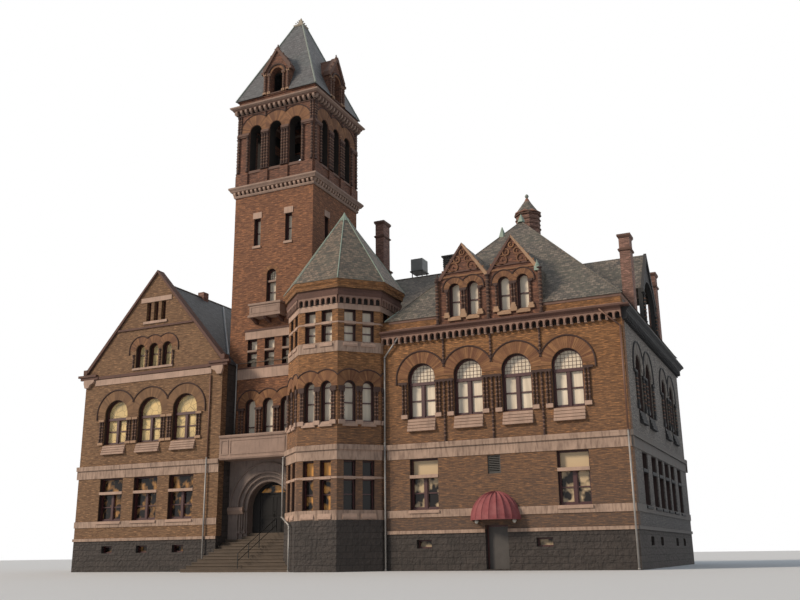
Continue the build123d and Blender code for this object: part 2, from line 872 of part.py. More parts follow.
def make_left_wing():
    windows = storey_windows(left_places(), left_places(), left_window_width, left_window_width,
                             left_arch_centre) + attic_windows()
    shape = gable_wall(left_width, water_table_top)
    for window in windows:
        shape = shape - window.outline()
    gable = slab(shape, 0, wall_thick)

    def front(piece):
        return place(piece, left_x0, left_y0, 0)

    def back(piece):
        return place(piece, left_x1, left_y1, 180)

    def side(piece):
        return place(piece, left_x0, left_y1, -90)

    def middle(piece):
        return place(piece, right_x0, left_y1, 180)

    depth = left_y1 - left_y0
    parts["left_front_wall"] = front(gable)
    parts["left_back_wall"] = back(gable)
    side_places = [depth / 2 + left_arch_pitch * step for step in (-1.5, -0.5, 0.5, 1.5)]
    side_windows = storey_windows(side_places, side_places)
    parts["left_side_wall"] = side(wall(depth - 2 * wall_thick, water_table_top, left_gable_bottom,
                                        side_windows, wall_thick))
    middle_places = [middle_width / 2 + left_arch_pitch * step for step in (-1, 0, 1)]
    middle_windows = storey_windows(middle_places, middle_places)
    parts["middle_back_wall"] = middle(wall(middle_width, water_table_top, middle_eave,
                                            middle_windows))

    base = [front(wall(left_width, slab_bottom, water_table_top, small_windows(left_places()))),
            side(wall(depth - 2 * wall_thick - 2 * trim_gap, slab_bottom, water_table_top,
                      small_windows(side_places), wall_thick + trim_gap)),
            back(wall(left_width, slab_bottom, water_table_top, small_windows(left_places()))),
            middle(wall(middle_width - trim_gap, slab_bottom, water_table_top,
                        small_windows(middle_places)))]
    basement_walls.extend(base)
    parts["basement_walls"] = group(basement_walls)

    frames = []
    panes = []
    for chosen, put in ((windows + small_windows(left_places()), front),
                        (windows + small_windows(left_places()), back),
                        (side_windows + small_windows(side_places), side),
                        (middle_windows + small_windows(middle_places), middle)):
        for window in chosen:
            frames.append(put(window.frame()))
            panes.append(put(window.glass()))
    parts["left_window_frames"] = group(frames)
    parts["left_window_glass"] = group(panes)

    band_low = (sill_band_bottom, sill_band_top)
    table = (water_table_top - table_high, water_table_top)
    strips = [front(belt(-belt_proud, left_width)), side(belt(trim_gap, depth - trim_gap)),
              back(belt(0, left_width + belt_proud)), middle(belt(0, middle_width - trim_gap))]
    for z0, z1, proud in ((band_low[0], band_low[1], band_proud), (table[0], table[1], table_proud)):
        strips.append(front(band(-proud, left_width, z0, z1, proud)))
        strips.append(side(band(trim_gap, depth - trim_gap, z0, z1, proud)))
        strips.append(back(band(0, left_width + proud, z0, z1, proud)))
        strips.append(middle(band(0, middle_width - trim_gap, z0, z1, proud)))
    stone_bands.extend(strips)
    parts["wing_stone_bands"] = group(stone_bands)
    eaves = [side(cornice(trim_gap, depth - trim_gap)),
             middle(cornice(0, middle_width - trim_gap))]
    limit = box(-total_width, total_width, -total_width, total_width, wall_top, left_gable_bottom)
    cornices.extend(piece & limit for piece in eaves)
    parts["wing_cornices"] = group(cornices)


def make_left_and_middle_roofs():
    left_solid = left_roof_solid()
    left_shell = left_solid - Pos(0, 0, -roof_thick) * left_solid - tower_mass()
    parts["left_roof"] = max(left_shell.solids(), key=lambda solid: solid.volume)

    middle_solid = middle_roof_solid()
    shell = middle_solid - Pos(0, 0, -roof_thick) * middle_solid
    left_envelope = box(left_x0 - wall_thick, left_x1, left_y0, left_y1 + wall_thick, slab_bottom,
                        left_gable_bottom) + left_solid
    gables = box(left_x0, left_x1, left_y1 - wall_thick, left_y1, slab_bottom, left_gable_apex)
    right_body = box(right_x0, right_x1, right_y0, right_y1, slab_bottom, eave_level)
    shell = shell - left_envelope - gables - right_body - right_roof_solid - tower_mass() - tall_stack()
    shell = shell - turret_mass(turret_radius, slab_bottom, turret_top)
    shell = shell - turret_mass(turret_radius + turret_cornice_proud, turret_top, turret_cornice_top)
    eaves = turret_radius + turret_cornice_proud + turret_roof_overhang
    shell = shell - turret_at * roof_octagon(eaves, turret_cornice_top, turret_apex)
    parts["middle_roof"] = max(shell.solids(), key=lambda solid: solid.volume)


def tower_front_windows():
    middle = tower_side / 2
    windows = []
    for step in (-1, 0, 1):
        windows.append(Window(middle + step * porch_window_pitch, porch_window_width,
                              porch_window_bottom, porch_window_centre, True, 0, False))
        windows.append(Window(middle + step * porch_window_pitch, third_width, third_bottom,
                              third_top, False, third_transom, False))
    windows.append(Window(middle, tall_width, tall_bottom, tall_centre, True,
                          tall_centre - tall_transom_drop, False))
    windows.extend(tower_slits())
    return windows


def tower_slits():
    middle = tower_side / 2
    slits = []
    for side in (-1, 1):
        slits.append(Window(middle + side * tower_slit_offset, tower_slit_width, tower_slit_bottom,
                            tower_slit_top, False, 0, False))
    return slits


def make_tower():
    def front(piece):
        return place(piece, tower_x0, tower_y0, 0)

    def right(piece):
        return place(piece, tower_x1, tower_y0, 90)

    def back(piece):
        return place(piece, tower_x1, tower_y1, 180)

    def left(piece):
        return place(piece, tower_x0, tower_y1, -90)

    middle = tower_side / 2
    inner = tower_side - 2 * tower_wall - 2 * trim_gap
    half = porch_arch_width / 2
    arch_s = porch_x - tower_x0
    left_end = arch_s - half
    right_start = arch_s + half
    windows = tower_front_windows()
    walls = [front(wall(tower_side, belt_top, tower_top, windows, 0, tower_wall))]
    lower = [front(wall(left_end, slab_bottom, porch_arch_spring, [], 0, tower_wall)),
             front(wall(tower_side - right_start, slab_bottom, porch_arch_spring, [], right_start,
                        tower_wall))]
    parts["porch_landing"] = front(box(left_end + trim_gap, right_start - trim_gap,
                                       landing_setback, tower_wall, slab_bottom, first_floor))
    over = rect_shape(middle, tower_side, porch_arch_spring, belt_top)
    over = over - Pos(arch_s, porch_arch_spring) * Circle(half)
    parts["tower_front_arch"] = front(slab(over, 0, tower_wall))
    side_windows = tower_slits()
    inner_start = tower_wall + trim_gap
    walls.append(right(wall(inner, slab_bottom, tower_top, side_windows, inner_start, tower_wall)))
    walls.append(left(wall(inner, slab_bottom, tower_top, side_windows, inner_start, tower_wall)))
    side_width = (tower_side - passage_width) / 2
    lower += [back(wall(side_width, slab_bottom, belt_top, [], 0, tower_wall)),
              back(wall(side_width, slab_bottom, belt_top, [], tower_side - side_width,
                        tower_wall)),
              back(wall(passage_width - 2 * trim_gap, slab_bottom, first_floor, [],
                        side_width + trim_gap, tower_wall)),
              back(wall(passage_width - 2 * trim_gap, passage_top, belt_top, [],
                        side_width + trim_gap, tower_wall))]
    parts["tower_lower_walls"] = group(lower)
    walls.append(back(wall(tower_side, belt_top, tower_top, side_windows, 0, tower_wall)))
    parts["tower_walls"] = group(walls)

    for chosen, put in ((windows, front), (side_windows, right), (side_windows, left),
                        (side_windows, back)):
        for window in chosen:
            tower_frames.append(put(window.frame()))
            tower_panes.append(put(window.glass()))
    parts["tower_window_frames"] = group(tower_frames)
    parts["tower_window_glass"] = group(tower_panes)

    edge = middle - tower_wall
    for z in (first_floor, belt_top, third_bottom - tower_third_floor_drop, belfry_floor):
        floors.append(tower_at * box(-edge, edge, -edge, edge, z - floor_thick, z))
    parts["floors"] = group(floors)

    make_belfry(front, right, back, left)
    make_tower_roof()


def ring_strips(start, end, z0, z1, proud, thick, put_all):
    """One strip on each side of the tower, parted by narrow joints at the corners."""
    strips = []
    for number, put in enumerate(put_all):
        if number % 2:
            low = start + trim_gap
            high = end - trim_gap
            strips.append(put(box(low, high, -proud, thick, z0, z1)))
        else:
            strips.append(put(box(start - proud, end + proud, -proud, thick, z0, z1)))
    return strips


def make_belfry(front, right, back, left):
    sides = (front, right, back, left)
    wall_deep = tower_wall
    gap = trim_gap
    pedestals = []
    heads = []
    piers = []
    middle = tower_side / 2
    edges = [middle + belfry_pitch * step for step in (-1, 0, 1)]
    half = belfry_arch_width / 2
    for number, put in enumerate(sides):
        start = 0 if number % 2 == 0 else wall_deep + gap
        end = tower_side - start
        pedestals.append(put(box(start, end, 0, wall_deep, tower_top, belfry_sill)))
        shape = rect_shape(middle, end - start, belfry_arch_centre, belfry_top)
        for s in edges:
            shape = shape - Pos(s, belfry_arch_centre) * Circle(half)
        heads.append(put(slab(shape, 0, wall_deep)))
        for s in (middle - belfry_pitch / 2, middle + belfry_pitch / 2):
            width = belfry_pitch - belfry_arch_width
            piers.append(put(box(s - width / 2, s + width / 2, 0, wall_deep, belfry_sill,
                                 belfry_arch_centre)))
        corner = edges[0] - half
        piers.append(put(box(0, corner, 0, corner, belfry_sill, belfry_arch_centre)))
    parts["belfry_pedestals"] = group(pedestals)
    parts["belfry_piers"] = group(piers)
    parts["belfry_arches"] = group(heads)

    mid = (tower_top + tower_cornice_top) / 2
    low = ring_strips(0, tower_side, tower_top, mid, 0.5 * tower_cornice_proud, 0, sides)
    low += ring_strips(0, tower_side, mid, tower_cornice_top, tower_cornice_proud, 0, sides)
    parts["tower_lower_cornice"] = group(list(joined(low).solids()))
    mid = (belfry_top + belfry_cornice_top) / 2
    high = []
    for z0, z1, proud in ((belfry_top, mid, 0.5 * belfry_cornice_proud),
                          (mid, belfry_cornice_top, belfry_cornice_proud),
                          (belfry_cornice_top, tower_eave, 0)):
        strips = []
        for number, put in enumerate(sides):
            side_start = -proud if number % 2 == 0 else wall_deep + gap
            strips.append(put(box(side_start, tower_side - side_start, -proud, wall_deep, z0, z1)))
        high += strips
    parts["tower_upper_cornice"] = group(list(joined(high).solids()))


def make_tower_roof():
    half = tower_side / 2 + tower_roof_overhang
    top = 2 * tower_roof_top_half
    outer = loft([Pos(0, 0, tower_eave) * Rectangle(2 * half, 2 * half),
                  Pos(0, 0, tower_roof_top) * Rectangle(top, top)])
    inset = roof_thick / 2
    inner = loft([Pos(0, 0, tower_eave - 1) * Rectangle(2 * (half - inset), 2 * (half - inset)),
                  Pos(0, 0, tower_roof_top - roof_thick) * Rectangle(top / 2, top / 2)])
    side = tower_dormer_width / 2
    outline = Polygon((-side, tower_eave), (side, tower_eave), (side, tower_dormer_eave),
                      (0, tower_dormer_apex), (-side, tower_dormer_eave), align=None)
    window = arch_shape(0, tower_dormer_opening, tower_eave + tower_dormer_sill, tower_dormer_arch)
    body = slab(outline - window, 0, tower_dormer_wall)
    rest = slab(outline, tower_dormer_wall, tower_dormer_reach)
    hollow = slab(rect_shape(0, 2 * (side - tower_dormer_cheek), tower_eave, tower_dormer_eave),
                  tower_dormer_wall, tower_dormer_reach)
    room = slab(outline, -2 * tower_roof_overhang, tower_dormer_wall + 2 * tower_roof_overhang)
    dormers = []
    shell = outer - inner
    for turn in (0, 90, 180, 270):
        at = Rot(0, 0, turn) * Pos(0, -tower_side / 2, 0)
        dormers.append(tower_at * (at * body + (at * (rest - hollow) - outer)))
        shell = shell - at * (room + hollow)
    parts["tower_roof"] = tower_at * shell
    parts["tower_dormers"] = group(dormers)
    crest_top = tower_roof_top + crest_high
    crest = column(Rectangle(top, top), tower_roof_top, crest_top)
    tip = loft([Pos(0, 0, crest_top) * Rectangle(2 * crest_tip_half, 2 * crest_tip_half),
                Pos(0, 0, finial_top) * Rectangle(2 * trim_gap, 2 * trim_gap)])
    parts["tower_finial"] = tower_at * (crest + tip)


def make_porch():
    y_front = right_y0 + porch_front
    x0 = left_x1
    x1 = turret_left
    half = porch_arch_width / 2
    centre = porch_width / 2

    def porch(piece):
        return place(piece, x0, y_front, 0)

    step = (tower_y0 - y_front) / porch_orders
    jambs = []
    rings = []
    for number in range(porch_orders):
        reach = half + porch_order_step * (porch_orders - number)
        deep = step * number
        for start, end in ((0, centre - reach), (centre + reach, porch_width)):
            jambs.append(porch(box(start, end, deep, deep + step, slab_bottom, porch_arch_spring)))
        shape = rect_shape(centre, porch_width, porch_arch_spring, balcony_bottom)
        shape = shape - Pos(centre, porch_arch_spring) * Circle(reach)
        rings.append(porch(slab(shape, deep, step)))
    parts["porch_jambs"] = group(list(joined(jambs).solids()))
    parts["porch_arch"] = joined(rings)

    floor = box(x0, x1, balcony_y, tower_y0, balcony_bottom, balcony_floor)
    parapet = box(x0, x1, balcony_y, balcony_y + balcony_wall, balcony_floor, balcony_top)
    parts["balcony"] = floor + parapet
    parts["entrance_steps"] = entrance_steps(jambs)


def entrance_steps(jambs):
    """Flight from the landing under the arch down to the ground, widening to the left."""
    riser = first_floor / riser_count
    half = porch_arch_width / 2
    turret_clear = turret_mass(turret_radius + turret_base_proud + step_clearance, slab_bottom,
                               turret_top)
    wing = box(left_x0, left_x1, left_y0, left_y1, slab_bottom, turret_top)
    tower_jambs = [box(tower_x0, porch_x - half, tower_y0, tower_y1, slab_bottom, turret_top),
                   box(porch_x + half, turret_x, tower_y0, tower_y1, slab_bottom, turret_top)]
    solid_around = joined(jambs + tower_jambs + [wing])
    landing_y = tower_y0 + landing_setback
    treads = []
    for number in range(1, riser_count):
        y = landing_y - tread * number
        top = first_floor - riser * number
        before_wing = max(left_y0 - y, 0)
        left = left_x1 - step_left_grow * before_wing / tread
        if y < turret_y:
            flight = box(left, turret_x, y, y + tread, slab_bottom, top) - turret_clear
        else:
            flight = box(left, turret_left, y, y + tread, slab_bottom, top)
        flight = flight - solid_around
        treads.append(max(flight.solids(), key=lambda solid: solid.volume))
    return joined(treads)


def pivot(x, y, floor, leaf_bottom):
    """Pivot shoe under the hinge corner of a door leaf."""
    high = leaf_bottom - pivot_seat - floor
    return Pos(x, y, floor) * Cylinder(pivot_radius, high, align=(Align.CENTER, Align.CENTER, Align.MIN))


def make_entrance_doors():
    half = porch_arch_width / 2
    y0 = tower_y0 + door_setback
    door_half = entrance_door_width / 2
    shape = arch_shape(0, 2 * half, first_floor, porch_arch_spring)
    door_top = entrance_door_top
    shape = shape - rect_shape(0, entrance_door_width, first_floor - 1, door_top)
    light = arch_shape(0, 2 * half - 4 * entrance_frame, door_top + entrance_frame,
                       porch_arch_spring) - rect_shape(0, 2 * half, 0, door_top + entrance_frame)
    shape = shape - light
    screen = Pos(porch_x, y0, 0) * slab(shape, 0, entrance_frame_deep)
    tower_panes.append(Pos(porch_x, y0, 0) * slab(light, entrance_frame_deep / 2, glass_thick))
    pivots = []
    width = door_half - leaf_gap - meeting_gap / 2
    for name, side in (("left", -1), ("right", 1)):
        s = side * (meeting_gap / 2 + width / 2)
        leaf = rect_shape(s, width, first_floor + leaf_gap, door_top - leaf_gap)
        solid = slab(leaf, entrance_frame_deep - leaf_thick, leaf_thick)
        parts["entrance_door_" + name] = Pos(porch_x, y0, 0) * solid
        edge = porch_x + side * (meeting_gap / 2 + width)
        shoe = pivot(edge, y0 + entrance_frame_deep, first_floor, first_floor + leaf_gap)
        pivots.append(shoe)
    parts["entrance_door_frame"] = joined([screen] + pivots)


def make_cellar_door():
    def front(piece):
        return place(piece, right_x0, right_y0, 0)

    outer = rect_shape(cellar_door_centre, cellar_door_width, threshold_high, cellar_door_top)
    inner = rect_shape(cellar_door_centre, cellar_door_width - 2 * cellar_frame, slab_bottom,
                       cellar_door_top - cellar_frame)
    leaf_bottom = threshold_high + leaf_gap
    leaf_width = cellar_door_width - 2 * cellar_frame - 2 * leaf_gap
    leaf = rect_shape(cellar_door_centre, leaf_width, leaf_bottom,
                      cellar_door_top - cellar_frame - leaf_gap)
    leaf_face = cellar_setback + leaf_gap
    parts["cellar_door"] = front(slab(leaf, leaf_face, leaf_thick))
    shoe = front(pivot(cellar_door_centre + leaf_width / 2, leaf_face, threshold_high, leaf_bottom))
    frame = front(slab(outer - inner, cellar_setback, cellar_frame_deep))
    parts["cellar_door_frame"] = frame + shoe
    parts["door_awning"] = awning_dome(awning_half) - awning_dome(awning_half - awning_thick)


def awning_dome(half):
    """Half dome on the front wall over the cellar door."""
    quarter = Sphere(half) & box(-half, half, -half, 0, 0, half)
    shrink = awning_half - half
    dome = scale(quarter, by=(1, (awning_deep - shrink) / half, (awning_high - shrink) / half))
    return Pos(right_x0 + cellar_door_centre, right_y0, awning_bottom) * dome


def make_rail():
    """Twin-bar handrail on the steps."""
    riser = first_floor / riser_count
    x = porch_x + rail_offset
    posts = []
    tops = []
    for number in (0, 5, 8, 11):
        y = tower_y0 + landing_setback - tread * (number - 0.5)
        z = first_floor - riser * number
        posts.append(Pos(x, y, z) * Cylinder(rail_radius, rail_high,
                                             align=(Align.CENTER, Align.CENTER, Align.MIN)))
        tops.append((x, y, z + rail_high - rail_radius))
    bars = []
    for drop in (0, rail_drop):
        for one, two in zip(tops, tops[1:]):
            start = Vector(one[0], one[1], one[2] - drop)
            end = Vector(two[0], two[1], two[2] - drop)
            bars.append(Solid.make_cylinder(rail_bar_radius, (end - start).length,
                                            Plane(start, z_dir=end - start)))
    parts["entrance_handrail"] = joined(posts + bars)


make_turret()
make_floors()
make_right_wing()
dormer_space = make_dormers()
make_right_roof(dormer_space)
make_left_wing()
make_left_and_middle_roofs()
make_roof_units()
make_porch()
make_entrance_doors()
make_tower()
make_cellar_door()
make_rail()
parts["right_window_frames"] = group(right_frames)
parts["right_window_glass"] = group(right_panes)

os.makedirs("parts", exist_ok=True)
for name, shape in parts.items():
    export_step(shape, os.path.join("parts", name + ".step"))
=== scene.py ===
"""Looks of the brick town hall: finishes, trims, window bars, light and camera over its solids."""
import math
import random

import bmesh
import bpy
from mathutils import Matrix, Vector


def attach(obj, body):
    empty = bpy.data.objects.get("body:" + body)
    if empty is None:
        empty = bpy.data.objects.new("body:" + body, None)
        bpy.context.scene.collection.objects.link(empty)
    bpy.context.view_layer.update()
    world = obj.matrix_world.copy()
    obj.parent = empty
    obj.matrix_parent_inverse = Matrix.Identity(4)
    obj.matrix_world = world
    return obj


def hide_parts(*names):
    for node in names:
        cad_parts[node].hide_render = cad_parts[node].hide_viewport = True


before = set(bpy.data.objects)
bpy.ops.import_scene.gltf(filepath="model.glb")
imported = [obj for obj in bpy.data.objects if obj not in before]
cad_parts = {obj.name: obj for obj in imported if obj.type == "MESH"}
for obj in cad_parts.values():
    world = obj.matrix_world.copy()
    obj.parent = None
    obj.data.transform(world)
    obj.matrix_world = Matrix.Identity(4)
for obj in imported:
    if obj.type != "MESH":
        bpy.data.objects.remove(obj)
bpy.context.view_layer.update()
random.seed(11)

# Levels and places, in metres, in the frame of the solids
BELT_TOP = 6.19
CORNICE_BOTTOM, CORBEL_FOOT = 11.43, 11.50
GUTTER_BOTTOM, GUTTER_TOP = 11.85, 12.12
RIGHT_X0, RIGHT_X1, RIGHT_Y0, RIGHT_Y1 = 4.59, 16.94, -8.415, 8.415
LEFT_X0, LEFT_X1, LEFT_Y0, LEFT_Y1 = -16.94, -6.51, -7.675, 7.675
TOWER_X0, TOWER_X1, TOWER_Y0, TOWER_Y1 = -7.045, -1.365, -6.305, -0.625
TOWER_X, TOWER_Y, TOWER_HALF, TOWER_WIDE = -4.205, -3.465, 2.84, 5.68
TURRET_X, TURRET_Y, TURRET_APOTHEM = 1.465, -7.515, 2.8271
TURRET_LEFT, TURRET_RIGHT = TURRET_X - TURRET_APOTHEM, TURRET_X + TURRET_APOTHEM
PORCH_X, PORCH_Y, BALCONY_Y = -3.936, -6.565, -7.675
FLOOR = 2.05
RIDGE_Y, RIDGE_TOP = 0.725, 18.05
LANTERN_X, LANTERN_Y, LANTERN_RADIUS = 10.765, -2.015, 0.70
HIP_CAP_X, HIP_CAP_Y = 9.82, -4.10

# Windows: centres along the walls, levels, and the depth of the glass
ARCH_CENTRE, LEFT_ARCH_CENTRE, ARCH_BOTTOM, TRANSOM_DROP = 9.55, 9.30, 7.45, 0.23
RECT_BOTTOM, RECT_TRANSOM, RECT_TOP = 2.90, 4.55, 5.41
FRONT_ARCHES = [1.90 + 2.553 * number for number in range(4)]
SIDE_ARCHES = [3.25, 5.95, 10.88, 13.58]
SIDE_RECTS = [2.965, 5.445, 7.425, 9.405, 11.385, 13.865]
LEFT_ARCHES = [2.615, 5.215, 7.815]
LEFT_SIDE_ARCHES = [3.775, 6.375, 8.975, 11.575]
MIDDLE_ARCHES = [2.95, 5.55, 8.15]
BAR_FRONT, GLAZING = 0.27, 0.352
SHAFT_RING = ((1.0, -0.04), (1.35, -0.02), (1.35, 0.02), (1.0, 0.04))
BEAD = ((1.05, -0.035), (1.5, 0.0), (1.05, 0.035))
HOOD = ((0.0, 0.0), (0.0, -0.05), (0.035, -0.09), (0.09, -0.11), (0.12, -0.07), (0.12, 0.0))
BEAD_PITCH = 0.21
BRICK_JOINT = 0.012
BRICK = (0.30, 0.075, 0.007)  # length, height and mortar joint


class Side:
    """A wall face: s runs along it, d inwards from it and z upwards."""

    def __init__(self, x, y, turn):
        angle = math.radians(turn)
        self.x, self.y, self.cos, self.sin = x, y, math.cos(angle), math.sin(angle)

    def at(self, s, d, z):
        return (self.x + s * self.cos - d * self.sin, self.y + s * self.sin + d * self.cos, z)


def turret_side(number):
    angle = math.radians(45 * number)
    return Side(TURRET_X + TURRET_APOTHEM * math.sin(angle), TURRET_Y - TURRET_APOTHEM * math.cos(angle),
                45 * number)


LEVEL = Side(0, 0, 0)
right_front = Side(RIGHT_X0, RIGHT_Y0, 0)
right_side = Side(RIGHT_X1, RIGHT_Y0, 90)
right_back = Side(RIGHT_X1, RIGHT_Y1, 180)
left_front = Side(LEFT_X0, LEFT_Y0, 0)
left_side = Side(LEFT_X0, LEFT_Y1, -90)
left_back = Side(LEFT_X1, LEFT_Y1, 180)
middle_back = Side(RIGHT_X0, LEFT_Y1, 180)
tower_front = Side(TOWER_X0, TOWER_Y0, 0)
tower_sides = [tower_front, Side(TOWER_X1, TOWER_Y0, 90), Side(TOWER_X1, TOWER_Y1, 180),
               Side(TOWER_X0, TOWER_Y1, -90)]
porch_side = Side(LEFT_X1, PORCH_Y, 0)


def add_node(tree, kind, values=None, **settings):
    """A shader node with its settings, and with values or links for its inputs."""
    made = tree.nodes.new(kind)
    for key, value in settings.items():
        setattr(made, key, value)
    for key, value in (values or {}).items():
        socket = made.inputs[key]
        if isinstance(value, bpy.types.NodeSocket):
            tree.links.new(value, socket)
        else:
            socket.default_value = (*value, 1.0) if socket.type == "RGBA" else value
    return made


def placed(name, data):
    """A new object of the scene."""
    made = bpy.data.objects.new(name, data)
    bpy.context.scene.collection.objects.link(made)
    return made


class Finish:
    """A node material under construction."""

    def __init__(self, name, roughness=0.8):
        self.material = bpy.data.materials.new(name)
        self.material.use_nodes = True
        self.tree = self.material.node_tree
        self.shader = self.tree.nodes["Principled BSDF"]
        self.shader.inputs["Roughness"].default_value = roughness

    def node(self, kind, values=None, **settings):
        return add_node(self.tree, kind, values, **settings)

    def vector(self, operation, one, two=(0, 0, 0), output="Vector"):
        return self.node("ShaderNodeVectorMath", {0: one, 1: two}, operation=operation).outputs[output]

    def maths(self, operation, one, two):
        return self.node("ShaderNodeMath", {0: one, 1: two}, operation=operation).outputs[0]

    def times(self, one, two):
        return self.maths("MULTIPLY", one, two)

    def fitted(self, value, low, high, start=0.0, end=1.0):
        return self.node("ShaderNodeMapRange", {0: value, 1: low, 2: high, 3: start, 4: end}).outputs[0]

    def place(self):
        return self.node("ShaderNodeTexCoord").outputs["Object"]

    def axes(self):
        return self.node("ShaderNodeSeparateXYZ", {0: self.place()}).outputs

    def face_place(self, stretch=(1, 1, 1)):
        """Coordinates along and up whatever face is shaded."""
        place = self.place()
        normal = self.node("ShaderNodeNewGeometry").outputs["True Normal"]
        across = self.vector("NORMALIZE", self.vector("CROSS_PRODUCT", (0, 0, 1), normal))
        upward = self.vector("CROSS_PRODUCT", normal, across)
        u = self.vector("DOT_PRODUCT", place, across, "Value")
        v = self.vector("DOT_PRODUCT", place, upward, "Value")
        joined = self.node("ShaderNodeCombineXYZ", {"X": u, "Y": v}).outputs[0]
        return self.vector("MULTIPLY", joined, stretch)

    def noise(self, place, scale, detail=3.0, low=0.35, high=0.65):
        made = self.node("ShaderNodeTexNoise", {"Vector": place, "Scale": scale, "Detail": detail})
        return self.fitted(made.outputs["Fac"], low, high)

    def courses(self, one, two, mortar, length, height, joint, smooth, bias=0.0):
        """Tones of bricks, blocks or slates in courses, and their height over the joints."""
        made = self.node("ShaderNodeTexBrick", {
            "Vector": self.face_place(), "Color1": one, "Color2": two, "Mortar": mortar, "Scale": 1.0,
            "Mortar Size": joint, "Mortar Smooth": smooth, "Bias": bias,
            "Brick Width": length, "Row Height": height})
        return made.outputs["Color"], self.maths("SUBTRACT", 1.0, made.outputs["Fac"])

    def mix(self, factor, one, two, blend="MIX"):
        made = self.node("ShaderNodeMix", {0: factor, 6: one, 7: two}, data_type="RGBA", blend_type=blend)
        return made.outputs[2]

    def over(self, tone, pattern, share, colour):
        """Tone with a share of another colour where the pattern is strong."""
        return self.mix(self.times(pattern, share), tone, colour)

    def bump(self, height, distance, strength, before=None):
        values = {"Height": height, "Distance": distance, "Strength": strength}
        if before is not None:
            values["Normal"] = before
        return self.node("ShaderNodeBump", values).outputs[0]

    def done(self, tone, height, distance, strength, before=None):
        """The material, with its colour and its relief joined to the shader."""
        self.tree.links.new(tone, self.shader.inputs["Base Color"])
        self.tree.links.new(self.bump(height, distance, strength, before), self.shader.inputs["Normal"])
        return self.material


def shade(colour, factor):
    return tuple(channel * factor for channel in colour)


def brick_finish(name, light, dark, mortar, soot=None):
    """Coursed brick with streaks and weathering; the last argument is painted shade that darkens the wall
    towards the bottom: the heights it fades between, then its share.
    """
    made = Finish(name, 0.85)
    tone, height = made.courses(light, dark, mortar, *BRICK, 0.2, -0.1)
    streaks = made.noise(made.face_place((1.0, 7.0, 1)), 2.4, 4.0, 0.46, 0.60)
    tone = made.over(tone, streaks, 0.75, shade(dark, 0.5))
    tone = made.over(tone, made.noise(made.place(), 0.32, 5.0), 0.35, shade(dark, 0.62))
    pale = made.noise(made.face_place((1.0, 8.0, 1)), 2.9, 3.0, 0.57, 0.66)
    tone = made.over(tone, pale, 0.7, shade(light, 1.8))
    # painted shade: the wall darkens towards the bottom
    if soot:
        tone = made.mix(made.fitted(made.axes()["Z"], *soot, 0.0), tone, (0.05, 0.048, 0.05))
    grain = made.bump(made.noise(made.place(), 60.0), 0.003, 0.5)
    return made.done(tone, height, 0.012, 0.7, grain)


def stone_finish(name, base, dark, grain=14.0, depth=0.006, stain=0.4, block=None):
    """Dressed stone with clouding, dark runs and a fine grain, or rough blocks of a given size."""
    made = Finish(name)
    tone = made.mix(made.noise(made.place(), 1.3, 5.0), base, shade(base, 0.78))
    tone = made.over(tone, made.noise(made.face_place((4.5, 0.7, 1)), 1.5, 5.0, 0.5, 0.75), stain, dark)
    fine = made.noise(made.place(), grain, 4.0)
    if not block:
        return made.done(tone, fine, depth, 0.6)
    blocks, height = made.courses((1, 1, 1), (0.72, 0.72, 0.72), (0.25, 0.22, 0.2), *block, 0.012, 0.3)
    return made.done(made.mix(1.0, tone, blocks, "MULTIPLY"), fine, depth, 0.8, made.bump(height, 0.03, 0.8))


def slate_finish(name, light, dark, moss, course, length):
    """Slates in courses up the slope, weathered in patches."""
    made = Finish(name, 0.62)
    tone, height = made.courses(light, dark, shade(dark, 0.45), length, course, 0.012, 0.1)
    tone = made.over(tone, made.noise(made.place(), 0.5, 5.0), 0.5, moss)
    streaks = made.noise(made.face_place((1.0, 1.5, 1)), 2.6, 4.0, 0.48, 0.60)
    tone = made.over(tone, streaks, 0.6, shade(dark, 0.6))
    pale = made.noise(made.face_place((1.2, 1.8, 1)), 3.4, 3.0, 0.56, 0.66)
    return made.done(made.over(tone, pale, 0.5, shade(light, 1.5)), height, 0.02, 0.8)


def painted_finish(name, base, roughness=0.45, metallic=0.0, wear=None):
    """Paint or metal with brush marks, faded patches and dirt."""
    made = Finish(name, roughness)
    made.shader.inputs["Metallic"].default_value = metallic
    tone = made.mix(made.times(made.noise(made.place(), 3.0, 5.0), 0.5), base, wear or shade(base, 0.6))
    return made.done(tone, made.noise(made.place(), 35.0), 0.002, 0.5)


def voussoir_finish(name, light, dark):
    """Arch bricks, each in its own tone."""
    made = Finish(name, 0.85)
    own = made.node("ShaderNodeNewGeometry").outputs["Random Per Island"]
    tone = made.over(made.mix(own, dark, light), made.noise(made.place(), 2.5, 4.0), 0.4, shade(dark, 0.7))
    return made.done(tone, made.noise(made.place(), 50.0), 0.004, 0.6)


def two_sided_stone(name, base, dark, far, stain):
    """Band stone: far is its tone on the right and back walls."""
    made = Finish(name)
    near = made.mix(made.noise(made.place(), 1.3, 5.0), base, shade(base, 0.74))
    x, y = made.axes()[:2]
    past = made.maths("MAXIMUM", made.maths("GREATER_THAN", x, RIGHT_X1 + 0.005),
                      made.maths("GREATER_THAN", y, RIGHT_Y1 + 0.005))
    runs = made.noise(made.face_place((4.5, 0.9, 1)), 1.7, 5.0, 0.45, 0.72)
    tone = made.over(made.mix(past, near, far), runs, stain, dark)
    return made.done(tone, made.noise(made.place(), 14.0, 4.0), 0.006, 0.6)


def window_finish(name):
    """Smooth glass, the place shaded, and whether it lies in an upper storey."""
    made = Finish(name, 0.12)
    made.shader.inputs["Specular IOR Level"].default_value = 0.25
    x, y, z = made.axes()
    return made, x, y, z, made.fitted(z, 6.2, 6.6)


